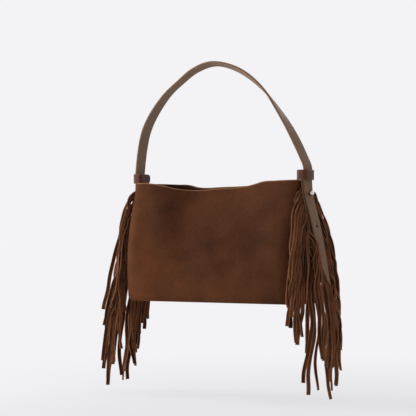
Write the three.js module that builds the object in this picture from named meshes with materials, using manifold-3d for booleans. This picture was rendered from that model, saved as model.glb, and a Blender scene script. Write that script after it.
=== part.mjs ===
// A fringed suede shoulder bag, in millimetres, +Z up.
// The origin is the middle of the base's underside. +X runs along the bag's width and -Y is its front.
import * as THREE from "three";
import { mergeVertices } from "three/addons/utils/BufferGeometryUtils.js";
import Module from "manifold-3d";

const wasm = await Module();
wasm.setup();

// Body: one suede sheet folded under the base, with a gusset sewn into each end
const BODY_WIDTH = 342;
const BODY_HEIGHT = 210;
const BASE_DEPTH = 100;
const BASE_FOLD_RADIUS = 12;
const END_MOUTH_DEPTH = 36;
const MIDDLE_MOUTH_DEPTH = 24;
const RIM_DIP = 12;
const SUEDE_THICK = 1.8;

// Inside: a board under the lining, the lining, and a suede facing round the mouth
const BOARD_THICK = 2;
const LINING_THICK = 1;
const FACING_THICK = 1.4;
const FACING_HEIGHT = 34;

// Magnetic snap: one half on each facing, below the dipped rim
const SNAP_RADIUS = 8.5;
const SNAP_SOCKET_THICK = 2.4;
const SNAP_PLATE_THICK = 1.4;
const SNAP_NOSE_RADIUS = 2.6;
const SNAP_NOSE_HEIGHT = 1.3;
const SNAP_BELOW_RIM = 16;

// Shoulder strap: one leather strap, held at both ends of the bag
const STRAP_WIDTH = 25;
const STRAP_THICK = 3.6;
const STRAP_RISE = 210;
const STRAP_TAIL = 235;
const STRAP_APEX_X = -15;
const STRAP_TAIL_SPREAD = 3.6;

// Tab: the leather strip that hangs from each end and carries the stud and the fringe
const TAB_WIDTH = 26;
const TAB_THICK = 3;
const TAB_ABOVE_RIM = 18;
const TAB_BELOW_FRINGE = 6;
const TAB_BEND = 30;
const TAB_SLOPE = 0.2306;
const TAB_STRAIGHTENING = 0.00017;

// Keeper: the leather loop round tab and strap, standing on the bag's end
const KEEPER_HEIGHT = 17;
const KEEPER_WALL = 2;
const KEEPER_CORNER_RADIUS = 3;
const KEEPER_SLACK = 2;
const KEEPER_INNER_SLACK = 5.5;

// Stud: a ball stud through tab and strap, screwed on from behind the tab
const STUD_BELOW_RIM = 24;
const STUD_NECK_RADIUS = 2.4;
const STUD_BALL_RADIUS = 4.3;
const SCREW_HEAD_RADIUS = 4.5;
const SCREW_HEAD_THICK = 1.2;
const SCREW_SHANK_RADIUS = 1.2;
const SLOT_PITCH = 56;
const SLIT_WIDTH = 1;
const SLIT_LENGTH = 9;

// Fringe: a suede panel sewn along each edge of the tab, whose cut strips fall past the base
const FRINGE_THICK = 1.4;
const FRINGE_LENGTH = 225;
const FRINGE_BELOW_RIM = 12;
const FRINGE_HEADING = 136;
const FRINGE_TUCK = 7.5;
const FRINGE_TOP_SPREAD = 64;
const FRINGE_LOW_SPREAD = 10;
const FRINGE_TOP_PUSH = 6;
const FRINGE_LOW_PUSH = 14;

// Clearances between neighbours
const CLEAR = 0.3;
const STRAP_CLEAR = 0.5;
const HEADING_CLEAR = 0.7;

// Fineness of the curved surfaces
const BODY_COLUMNS = 12;
const WALL_STEPS = 6;
const FOLD_STEPS = 3;
const STRAP_STEPS = 84;
const TAB_STEPS = 12;
const FRINGE_STEPS = 6;
const ROUND_SIDES = 16;

const HALF_WIDTH = BODY_WIDTH / 2;
const HALF_BASE = BASE_DEPTH / 2;
const FRINGE_TOP = BODY_HEIGHT - FRINGE_BELOW_RIM;
const STUD_Z = BODY_HEIGHT - STUD_BELOW_RIM;
const TAB_TOP = BODY_HEIGHT + TAB_ABOVE_RIM;
const TAB_END = FRINGE_TOP - FRINGE_HEADING - TAB_BELOW_FRINGE;
const LINING_INSET = SUEDE_THICK + CLEAR;
const LINING_LIFT = SUEDE_THICK + CLEAR + BOARD_THICK + CLEAR;
const FACING_FOOT = BODY_HEIGHT - FACING_HEIGHT;

const SUEDE = { color: 0x502f1e, roughness: 0.95, metalness: 0 };
const FRINGE_SUEDE = { color: 0x4c2d1d, roughness: 0.95, metalness: 0 };
const STRAP_LEATHER = { color: 0x664e3e, roughness: 0.55, metalness: 0 };
const KEEPER_LEATHER = { color: 0x6a4f41, roughness: 0.5, metalness: 0 };
const LINING_CLOTH = { color: 0x2e1d14, roughness: 0.9, metalness: 0 };
const BOARD_CARD = { color: 0x8a7a66, roughness: 0.9, metalness: 0 };
const NICKEL = { color: 0xc8c6c2, roughness: 0.2, metalness: 1 };

function blend(from, to, share) {
  return from + (to - from) * share;
}

// How near a place along the width is to the middle: 1 there and 0 at both ends.
function middleShare(x) {
  return 0.5 + 0.5 * Math.cos((Math.PI * x) / HALF_WIDTH);
}

function rimHeight(x) {
  return BODY_HEIGHT - RIM_DIP * middleShare(x);
}

function mouthHalf(x) {
  return blend(END_MOUTH_DEPTH, MIDDLE_MOUTH_DEPTH, middleShare(x)) / 2;
}

// Half the body's depth at a height above the base fold.
function wallHalf(x, z) {
  const share = (z - BASE_FOLD_RADIUS) / (rimHeight(x) - BASE_FOLD_RADIUS);
  return blend(HALF_BASE, mouthHalf(x), share);
}

// One section of the folded body, from the front rim under the base to the back rim, as [y, z] points.
function bodySection(x, wallInset, baseInset) {
  const front = [];
  for (let i = 0; i <= WALL_STEPS; i++) {
    const z = blend(rimHeight(x), BASE_FOLD_RADIUS, i / WALL_STEPS);
    front.push([-(wallHalf(x, z) - wallInset), z]);
  }
  for (let i = 1; i <= FOLD_STEPS; i++) {
    const turn = ((Math.PI / 2) * i) / FOLD_STEPS;
    const reach = (BASE_FOLD_RADIUS - wallInset) * Math.cos(turn);
    const drop = (BASE_FOLD_RADIUS - baseInset) * Math.sin(turn);
    front.push([-(HALF_BASE - BASE_FOLD_RADIUS + reach), BASE_FOLD_RADIUS - drop]);
  }
  const back = front.map(([y, z]) => [-y, z]).reverse();
  return front.concat(back);
}

function signedVolume(geometry) {
  const position = geometry.getAttribute("position");
  const corner = [new THREE.Vector3(), new THREE.Vector3(), new THREE.Vector3()];
  let volume = 0;
  for (let i = 0; i < geometry.index.count; i += 3) {
    corner.forEach((point, k) => point.fromBufferAttribute(position, geometry.index.getX(i + k)));
    volume += corner[0].dot(corner[1].cross(corner[2])) / 6;
  }
  return volume;
}

// A closed sheet between two grids of points, outer(i, j) and inner(i, j).
function closedSheet(columns, rows, outer, inner) {
  const points = [];
  const faces = [];
  const layer = (columns + 1) * (rows + 1);
  const at = (side, i, j) => side * layer + i * (rows + 1) + j;
  const quad = (a, b, c, d) => faces.push(a, b, c, a, c, d);
  for (const place of [outer, inner]) {
    for (let i = 0; i <= columns; i++) {
      for (let j = 0; j <= rows; j++) {
        points.push(...place(i, j));
      }
    }
  }
  for (let i = 0; i < columns; i++) {
    for (let j = 0; j < rows; j++) {
      quad(at(0, i, j), at(0, i + 1, j), at(0, i + 1, j + 1), at(0, i, j + 1));
      quad(at(1, i, j), at(1, i, j + 1), at(1, i + 1, j + 1), at(1, i + 1, j));
    }
  }
  for (let i = 0; i < columns; i++) {
    quad(at(0, i, 0), at(1, i, 0), at(1, i + 1, 0), at(0, i + 1, 0));
    quad(at(0, i, rows), at(0, i + 1, rows), at(1, i + 1, rows), at(1, i, rows));
  }
  for (let j = 0; j < rows; j++) {
    quad(at(0, 0, j), at(0, 0, j + 1), at(1, 0, j + 1), at(1, 0, j));
    quad(at(0, columns, j), at(1, columns, j), at(1, columns, j + 1), at(0, columns, j + 1));
  }
  const geometry = new THREE.BufferGeometry();
  geometry.setAttribute("position", new THREE.Float32BufferAttribute(points, 3));
  geometry.setIndex(faces);
  if (signedVolume(geometry) < 0) {
    geometry.setIndex(faces.reverse());
  }
  return geometry;
}

function solidOf(geometry) {
  const bare = geometry.clone();
  bare.deleteAttribute("normal");
  bare.deleteAttribute("uv");
  const merged = mergeVertices(bare);
  const vertProperties = merged.getAttribute("position").array;
  const triVerts = new Uint32Array(merged.index.array);
  return new wasm.Manifold(new wasm.Mesh({ numProp: 3, vertProperties, triVerts }));
}

function geometryOf(solid) {
  const made = solid.getMesh();
  const geometry = new THREE.BufferGeometry();
  geometry.setAttribute("position", new THREE.BufferAttribute(made.vertProperties, 3));
  geometry.setIndex(new THREE.BufferAttribute(made.triVerts, 1));
  return geometry;
}

function named(name, geometry, finish) {
  geometry.computeVertexNormals();
  const mesh = new THREE.Mesh(geometry, new THREE.MeshStandardMaterial(finish));
  mesh.name = name;
  return mesh;
}

// A sheet folded like the body, from one end to the other, between two insets from its outside.
function foldedSheet(halfLength, wallInset, baseInset, thickness) {
  const rows = bodySection(0, wallInset, baseInset).length - 1;
  const grid = (extra) => {
    const sections = [];
    for (let i = 0; i <= BODY_COLUMNS; i++) {
      const x = blend(-halfLength, halfLength, i / BODY_COLUMNS);
      const section = bodySection(x, wallInset + extra, baseInset + extra);
      sections.push(section.map(([y, z]) => [x, y, z]));
    }
    return (i, j) => sections[i][j];
  };
  return closedSheet(BODY_COLUMNS, rows, grid(0), grid(thickness));
}

// A flat end plate with the body's outline at x, its outer face at x and its thickness inwards.
function endPlate(x, wallInset, baseInset, thickness) {
  const outline = bodySection(x, wallInset, baseInset).map(([y, z]) => new THREE.Vector2(y, z));
  const plate = new THREE.ExtrudeGeometry(new THREE.Shape(outline), { depth: thickness, bevelEnabled: false });
  const toYZ = new THREE.Matrix4().makeBasis(
    new THREE.Vector3(0, 1, 0),
    new THREE.Vector3(0, 0, 1),
    new THREE.Vector3(1, 0, 0),
  );
  plate.applyMatrix4(toYZ);
  plate.translate(x > 0 ? x - thickness : x, 0, 0);
  return plate;
}

// An open-topped bag that lines the body: a folded sheet with a plate closing each end.
function innerBag(thickness) {
  const halfLength = HALF_WIDTH - LINING_INSET;
  const sheet = solidOf(foldedSheet(halfLength, LINING_INSET, LINING_LIFT, thickness));
  const right = solidOf(endPlate(halfLength, LINING_INSET, LINING_LIFT, thickness));
  const left = solidOf(endPlate(-halfLength, LINING_INSET, LINING_LIFT, thickness));
  return sheet.add(right).add(left);
}

// A block wider than the bag between two heights, for cutting the inner bag at the facing's foot.
function slice(low, high) {
  const block = new THREE.BoxGeometry(2 * BODY_WIDTH, 2 * BASE_DEPTH, high - low);
  block.translate(0, 0, (low + high) / 2);
  return solidOf(block);
}

function suedeWrap() {
  return foldedSheet(HALF_WIDTH, 0, 0, SUEDE_THICK);
}

function lining() {
  return geometryOf(innerBag(LINING_THICK).intersect(slice(-BASE_DEPTH, FACING_FOOT - CLEAR)));
}

function mouthFacing() {
  return geometryOf(innerBag(FACING_THICK).intersect(slice(FACING_FOOT, 2 * BODY_HEIGHT)));
}

function baseBoard() {
  const length = 2 * (HALF_WIDTH - SUEDE_THICK - CLEAR);
  const board = new THREE.BoxGeometry(length, BASE_DEPTH - 2 * BASE_FOLD_RADIUS, BOARD_THICK);
  board.translate(0, 0, SUEDE_THICK + CLEAR + BOARD_THICK / 2);
  return board;
}

function turned(profile) {
  const points = profile.map(([radius, height]) => new THREE.Vector2(radius, height));
  return new THREE.LatheGeometry(points, ROUND_SIDES);
}

function snapSocket() {
  const well = SNAP_NOSE_RADIUS + CLEAR;
  const floor = SNAP_SOCKET_THICK - SNAP_NOSE_HEIGHT;
  return turned([
    [0, 0],
    [SNAP_RADIUS, 0],
    [SNAP_RADIUS, SNAP_SOCKET_THICK],
    [well, SNAP_SOCKET_THICK],
    [well, floor],
    [0, floor],
  ]);
}

function snapNose() {
  const top = SNAP_PLATE_THICK + SNAP_NOSE_HEIGHT;
  return turned([
    [0, 0],
    [SNAP_RADIUS, 0],
    [SNAP_RADIUS, SNAP_PLATE_THICK],
    [SNAP_NOSE_RADIUS, SNAP_PLATE_THICK],
    [SNAP_NOSE_RADIUS, top],
    [0, top],
  ]);
}

// Puts a snap half on the inner face of the facing, square to the leaning wall. side is -1 for the front.
function seatSnap(mesh, side) {
  const z = rimHeight(0) - SNAP_BELOW_RIM;
  const lean = (HALF_BASE - mouthHalf(0)) / (rimHeight(0) - BASE_FOLD_RADIUS);
  const inward = new THREE.Vector3(0, -side, -lean).normalize();
  const inset = LINING_INSET + FACING_THICK;
  mesh.quaternion.setFromUnitVectors(new THREE.Vector3(0, 1, 0), inward);
  mesh.position.set(0, side * (wallHalf(0, z) - inset), z).addScaledVector(inward, CLEAR);
  return mesh;
}

// The right end's pieces hang in one upright plane: each place below is an X for a height.
// The tab leaves the bag's end in a soft bend and then leans outwards over the fringe.
const TAB_X = HALF_WIDTH + CLEAR + FRINGE_THICK + HEADING_CLEAR + TAB_THICK / 2;

function tabX(z) {
  const below = Math.max(0, BODY_HEIGHT - z);
  const run = below < TAB_BEND ? (below * below) / (2 * TAB_BEND) : below - TAB_BEND / 2;
  return TAB_X + TAB_SLOPE * run - TAB_STRAIGHTENING * run * run;
}

// The strap lies on the tab down to the stud, and its free tail stands off a little below it.
function strapX(z) {
  const below = Math.max(0, STUD_Z - 2 * STUD_BALL_RADIUS - z);
  const spread = STRAP_TAIL_SPREAD * Math.min(1, below / SLOT_PITCH);
  return tabX(z) + TAB_THICK / 2 + STRAP_CLEAR + STRAP_THICK / 2 + spread;
}

const HALF_SPAN = strapX(TAB_TOP);

// The direction square to the tab and the strap at the stud, pointing away from the bag.
function outwardAt(z) {
  const slope = tabX(z - 0.5) - tabX(z + 0.5);
  return new THREE.Vector3(1, 0, slope).normalize();
}

function strip(path, width, thickness, steps) {
  const section = new THREE.Shape();
  section.moveTo(-width / 2, -thickness / 2);
  section.lineTo(width / 2, -thickness / 2);
  section.lineTo(width / 2, thickness / 2);
  section.lineTo(-width / 2, thickness / 2);
  section.closePath();
  return new THREE.ExtrudeGeometry(section, { steps, bevelEnabled: false, extrudePath: path });
}

// A point on the axis that leaves the tab's middle line squarely at a height, this far outwards.
function onAxis(z, outwards) {
  return new THREE.Vector3(tabX(z), 0, z).addScaledVector(outwardAt(z), outwards);
}

// A round cutter along that axis, centred this far outwards.
function roundCutter(z, outwards, radius, length) {
  const cutter = new THREE.CylinderGeometry(radius, radius, length, ROUND_SIDES);
  const turn = new THREE.Quaternion().setFromUnitVectors(new THREE.Vector3(0, 1, 0), outwardAt(z));
  cutter.applyQuaternion(turn);
  cutter.translate(...onAxis(z, outwards));
  return cutter;
}

// A keyhole: a round hole for the stud's neck with a short slit above it.
function keyhole(z) {
  const reach = 3 * STRAP_THICK;
  const outwards = strapX(z) - tabX(z);
  const centre = onAxis(z, outwards);
  const hole = solidOf(roundCutter(z, outwards, STUD_NECK_RADIUS + STRAP_CLEAR, reach));
  const slit = new THREE.BoxGeometry(reach, SLIT_WIDTH, SLIT_LENGTH);
  slit.translate(centre.x, 0, centre.z + SLIT_LENGTH / 2);
  return hole.add(solidOf(slit));
}

// The arch over the bag as shares of the half span and of the rise, from the left end to the right.
const ARCH = [
  [-0.915, 0.466],
  [-0.687, 0.735],
  [-0.488, 0.865],
  [-0.309, 0.956],
  [STRAP_APEX_X / HALF_SPAN, 1],
  [0.213, 0.932],
  [0.488, 0.768],
  [0.69, 0.562],
  [0.82, 0.4],
  [0.95, 0.2],
];

function strap() {
  const tailStep = 20;
  const straightTop = TAB_TOP + STRAP_THICK;
  const heights = [];
  for (let z = BODY_HEIGHT - STRAP_TAIL; z < straightTop - tailStep / 2; z += tailStep) {
    heights.push(z);
  }
  heights.push(straightTop);
  const left = heights.map((z) => new THREE.Vector3(-strapX(z), 0, z));
  const right = heights.map((z) => new THREE.Vector3(strapX(z), 0, z)).reverse();
  const rise = STRAP_RISE - STRAP_THICK / 2;
  const arch = ARCH.map(([across, up]) => new THREE.Vector3(across * HALF_SPAN, 0, BODY_HEIGHT + up * rise));
  const path = new THREE.CatmullRomCurve3([...left, ...arch, ...right]);
  let solid = solidOf(strip(path, STRAP_WIDTH, STRAP_THICK, STRAP_STEPS));
  for (const z of [STUD_Z, STUD_Z - SLOT_PITCH]) {
    const cut = geometryOf(keyhole(z));
    solid = solid.subtract(solidOf(cut)).subtract(solidOf(cut.clone().rotateZ(Math.PI)));
  }
  return geometryOf(solid);
}

function tab() {
  const points = [];
  for (let i = 0; i <= TAB_STEPS; i++) {
    const z = blend(TAB_TOP, TAB_END, i / TAB_STEPS);
    points.push(new THREE.Vector3(tabX(z), 0, z));
  }
  const band = strip(new THREE.CatmullRomCurve3(points), TAB_WIDTH, TAB_THICK, TAB_STEPS);
  const hole = roundCutter(STUD_Z, 0, STUD_NECK_RADIUS + CLEAR, 3 * TAB_THICK);
  return geometryOf(solidOf(band).subtract(solidOf(hole)));
}

function roundedBox(outline, low, high, radius) {
  outline.moveTo(low.x + radius, low.y);
  outline.lineTo(high.x - radius, low.y);
  outline.quadraticCurveTo(high.x, low.y, high.x, low.y + radius);
  outline.lineTo(high.x, high.y - radius);
  outline.quadraticCurveTo(high.x, high.y, high.x - radius, high.y);
  outline.lineTo(low.x + radius, high.y);
  outline.quadraticCurveTo(low.x, high.y, low.x, high.y - radius);
  outline.lineTo(low.x, low.y + radius);
  outline.quadraticCurveTo(low.x, low.y, low.x + radius, low.y);
  return outline;
}

function keeper() {
  const inside = TAB_X - TAB_THICK / 2 - STRAP_CLEAR - KEEPER_INNER_SLACK;
  const outside = strapX(TAB_TOP) + STRAP_THICK / 2 + KEEPER_SLACK;
  const halfInner = TAB_WIDTH / 2 + STRAP_CLEAR;
  const halfOuter = halfInner + KEEPER_WALL;
  const low = new THREE.Vector2(inside - KEEPER_WALL, -halfOuter);
  const high = new THREE.Vector2(outside + KEEPER_WALL, halfOuter);
  const loop = roundedBox(new THREE.Shape(), low, high, KEEPER_CORNER_RADIUS);
  const gapLow = new THREE.Vector2(inside, -halfInner);
  const gapHigh = new THREE.Vector2(outside, halfInner);
  loop.holes.push(roundedBox(new THREE.Path(), gapLow, gapHigh, CLEAR));
  const band = new THREE.ExtrudeGeometry(loop, { depth: KEEPER_HEIGHT, bevelEnabled: false, curveSegments: 5 });
  band.translate(0, 0, BODY_HEIGHT + CLEAR);
  return band;
}

// The stud's neck starts at the tab's inner face, and its ball stands clear of the strap.
function stud() {
  const neck = TAB_THICK + STRAP_CLEAR + STRAP_THICK + STRAP_CLEAR;
  const bore = SCREW_SHANK_RADIUS + CLEAR;
  const boreEnd = neck - CLEAR;
  const profile = [
    [0, boreEnd],
    [bore, boreEnd],
    [bore, 0],
    [STUD_NECK_RADIUS, 0],
    [STUD_NECK_RADIUS, neck],
  ];
  const ballSteps = 8;
  const shoulder = Math.asin(STUD_NECK_RADIUS / STUD_BALL_RADIUS);
  const centre = neck + STUD_BALL_RADIUS * Math.cos(shoulder);
  for (let i = 1; i < ballSteps; i++) {
    const angle = blend(shoulder, Math.PI, i / ballSteps);
    profile.push([STUD_BALL_RADIUS * Math.sin(angle), centre - STUD_BALL_RADIUS * Math.cos(angle)]);
  }
  profile.push([0, centre + STUD_BALL_RADIUS]);
  return turned(profile);
}

function studScrew() {
  const shankTop = SCREW_HEAD_THICK + CLEAR + TAB_THICK + STRAP_THICK / 2;
  return turned([
    [0, 0],
    [SCREW_HEAD_RADIUS, 0],
    [SCREW_HEAD_RADIUS, SCREW_HEAD_THICK],
    [SCREW_SHANK_RADIUS, SCREW_HEAD_THICK],
    [SCREW_SHANK_RADIUS, shankTop],
    [0, shankTop],
  ]);
}

// Seats a turned piece on the stud's axis, its foot this far outwards from the tab's inner face.
function seatOnStud(mesh, outwards) {
  const outward = outwardAt(STUD_Z);
  mesh.quaternion.setFromUnitVectors(new THREE.Vector3(0, 1, 0), outward);
  mesh.position.copy(onAxis(STUD_Z, outwards - TAB_THICK / 2));
  return mesh;
}

// A fringe panel beside the tab: its heading lies under the tab's edge and its strips fall and fan out.
// side is -1 for the panel at the tab's front edge. The upper strips fan furthest from the tab.
function fringe(side) {
  const place = (offset) => (i, j) => {
    const share = i / FRINGE_STEPS;
    const z = FRINGE_TOP - FRINGE_HEADING * share;
    const tabSkin = TAB_THICK / 2 / outwardAt(z).x;
    const x = tabX(z) - tabSkin - HEADING_CLEAR - FRINGE_THICK / 2 + offset;
    if (j === 0) {
      return [x, side * (TAB_WIDTH / 2 - FRINGE_TUCK), z];
    }
    const along = (j - 1) / FRINGE_STEPS;
    const spread = blend(FRINGE_TOP_SPREAD, FRINGE_LOW_SPREAD, share) - TAB_WIDTH / 2;
    const push = blend(FRINGE_TOP_PUSH, FRINGE_LOW_PUSH, share);
    const drop = Math.sqrt(FRINGE_LENGTH * FRINGE_LENGTH - spread * spread - push * push);
    return [x + push * along, side * (TAB_WIDTH / 2 + spread * along), z - drop * along];
  };
  const half = FRINGE_THICK / 2;
  return closedSheet(FRINGE_STEPS, FRINGE_STEPS + 1, place(half), place(-half));
}

// Everything at one end of the bag, made for the right end. The left end is turned half round,
// so its own front panel of fringe comes to the back.
function bagEnd(hand, frontName, backName) {
  const end = new THREE.Group();
  const gussetInset = SUEDE_THICK + CLEAR;
  const gusset = endPlate(HALF_WIDTH, gussetInset, gussetInset, SUEDE_THICK);
  end.add(named(`gusset_${hand}`, gusset, SUEDE));
  end.add(named(`tab_${hand}`, tab(), STRAP_LEATHER));
  end.add(named(`keeper_${hand}`, keeper(), KEEPER_LEATHER));
  end.add(seatOnStud(named(`stud_${hand}`, stud(), NICKEL), 0));
  end.add(seatOnStud(named(`stud_screw_${hand}`, studScrew(), NICKEL), -CLEAR - SCREW_HEAD_THICK));
  end.add(named(`fringe_${frontName}_${hand}`, fringe(-1), FRINGE_SUEDE));
  end.add(named(`fringe_${backName}_${hand}`, fringe(1), FRINGE_SUEDE));
  return end;
}

const bag = new THREE.Group();
bag.add(named("suede_wrap", suedeWrap(), SUEDE));
bag.add(named("base_board", baseBoard(), BOARD_CARD));
bag.add(named("lining", lining(), LINING_CLOTH));
bag.add(named("mouth_facing", mouthFacing(), SUEDE));
bag.add(seatSnap(named("snap_socket", snapSocket(), NICKEL), -1));
bag.add(seatSnap(named("snap_nose", snapNose(), NICKEL), 1));
bag.add(named("strap", strap(), STRAP_LEATHER));

const rightEnd = bagEnd("right", "front", "back");
const leftEnd = bagEnd("left", "back", "front");
leftEnd.rotation.z = Math.PI;
bag.add(rightEnd, leftEnd);

export default bag;
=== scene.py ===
"""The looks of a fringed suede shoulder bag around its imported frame, in metres, with +Z up.

The bag's front faces -Y, its base lies at z = 0, and the strap passes from end to end along X.
"""

import sys
import logging
import math
from dataclasses import dataclass, field
from enum import Enum
from typing import Sequence

import bpy
import numpy as np
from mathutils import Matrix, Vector


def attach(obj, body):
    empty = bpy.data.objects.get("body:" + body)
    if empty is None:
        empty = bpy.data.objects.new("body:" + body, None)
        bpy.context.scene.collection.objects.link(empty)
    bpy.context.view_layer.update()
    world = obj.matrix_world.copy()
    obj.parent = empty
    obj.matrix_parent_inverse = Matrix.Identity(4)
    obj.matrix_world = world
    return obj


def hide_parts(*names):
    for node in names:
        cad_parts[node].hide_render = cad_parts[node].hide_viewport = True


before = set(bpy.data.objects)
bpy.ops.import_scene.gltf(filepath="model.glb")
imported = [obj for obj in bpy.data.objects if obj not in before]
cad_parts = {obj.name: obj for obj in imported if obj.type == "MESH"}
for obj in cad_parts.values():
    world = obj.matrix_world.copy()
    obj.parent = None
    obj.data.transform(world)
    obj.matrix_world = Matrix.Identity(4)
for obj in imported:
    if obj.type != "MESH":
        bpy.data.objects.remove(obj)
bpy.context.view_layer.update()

LOG = logging.getLogger("bag")
BODY = "root"
DEPTHWISE = np.array([0.0, 1.0, 0.0])
NEARLY_ALONG = 0.9
SMALLEST_LENGTH = 1e-12
SMALLEST_GAP = 1e-9
SMALLEST_ARCH = 1e-6

Points = np.ndarray
Pair = tuple[float, float]
Knots = Sequence[Pair]
Triple = tuple[float, float, float]
Colour = tuple[int, int, int]
Draws = np.random.Generator
Piece = bpy.types.Object
Finish = bpy.types.Material
Tree = bpy.types.NodeTree
Node = bpy.types.Node
Socket = bpy.types.NodeSocket


class Side(Enum):
    """A side of the bag, with its sign along an axis."""

    @property
    def word(self) -> str:
        """The side's name in the names of pieces."""
        return self.name.lower()


class End(Side):
    """An end of the bag, with its sign along X."""

    LEFT = -1
    RIGHT = 1


class Face(Side):
    """A long face of the bag, with its sign along Y."""

    FRONT = -1
    BACK = 1


class Slot(Enum):
    """Names of the record's material slots, one for each kind of made piece."""

    SUEDE = "suede"
    FRINGE = "fringe_suede"
    STRAP = "strap_leather"
    KEEPER = "keeper_leather"
    LINING = "lining"
    NICKEL = "nickel"


# Numbers and curves


def blend(start: float, stop: float, share: float) -> float:
    """The value this share of the way from start to stop."""
    return start + (stop - start) * share


def ease(share: Points) -> Points:
    """A smooth step from 0 to 1 over shares 0 to 1."""
    held = np.clip(share, 0, 1)
    return held * held * (3 - 2 * held)


def through(knots: Knots, x: Points) -> Points:
    """A smooth curve through knots.

    Args:
        knots: pairs of place and value, in rising order of place.
        x: where the curve is read; past the ends it stays level.

    Returns:
        The curve's value at each x.
    """
    places, values = np.array(knots, dtype=float).T
    slopes = np.gradient(values, places)
    x = np.asarray(x, dtype=float)
    i = np.clip(np.searchsorted(places, x) - 1, 0, len(places) - 2)
    step = places[i + 1] - places[i]
    t = np.clip((x - places[i]) / step, 0, 1)
    return (
        (2 * t**3 - 3 * t**2 + 1) * values[i]
        + (t**3 - 2 * t**2 + t) * step * slopes[i]
        + (3 * t**2 - 2 * t**3) * values[i + 1]
        + (t**3 - t**2) * step * slopes[i + 1]
    )


def unit(vectors: Points) -> Points:
    """The vectors, each at length 1."""
    return vectors / np.maximum(np.linalg.norm(vectors, axis=-1, keepdims=True), SMALLEST_LENGTH)


def path_length(path: Points) -> float:
    """The length of a path of points."""
    return float(np.linalg.norm(np.diff(path, axis=0), axis=1).sum())


def evenly(path: Points, count: int, length: float | None = None) -> Points:
    """Points at even steps along a path.

    Args:
        path: the path's points in order.
        count: how many points to give.
        length: how much of the path to use, or all of it.

    Returns:
        The points, the path's first among them.
    """
    run = np.concatenate([[0], np.cumsum(np.linalg.norm(np.diff(path, axis=0), axis=1))])
    wanted = np.linspace(0, run[-1] if length is None else length, count)
    return np.stack([np.interp(wanted, run, path[:, k]) for k in range(3)], axis=1)


def smooth_path(points: Points, per_span: int) -> Points:
    """A centripetal curve through points.

    Args:
        points: the points it passes through.
        per_span: how many steps each span gets.

    Returns:
        The curve's points.
    """
    padded = np.vstack([2 * points[0] - points[1], points, 2 * points[-1] - points[-2]])
    made = []
    for k in range(len(points) - 1):
        p0, p1, p2, p3 = padded[k : k + 4]
        t0 = 0.0
        t1 = t0 + math.sqrt(np.linalg.norm(p1 - p0))
        t2 = t1 + math.sqrt(np.linalg.norm(p2 - p1))
        t3 = t2 + math.sqrt(np.linalg.norm(p3 - p2))
        t = np.linspace(t1, t2, per_span, endpoint=False)[:, None]
        a1 = (t1 - t) / (t1 - t0) * p0 + (t - t0) / (t1 - t0) * p1
        a2 = (t2 - t) / (t2 - t1) * p1 + (t - t1) / (t2 - t1) * p2
        a3 = (t3 - t) / (t3 - t2) * p2 + (t - t2) / (t3 - t2) * p3
        b1 = (t2 - t) / (t2 - t0) * a1 + (t - t0) / (t2 - t0) * a2
        b2 = (t3 - t) / (t3 - t1) * a2 + (t - t1) / (t3 - t1) * a3
        made.append((t2 - t) / (t2 - t1) * b1 + (t - t1) / (t2 - t1) * b2)
    return np.vstack([*made, points[-1:]])


# Meshes


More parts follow.
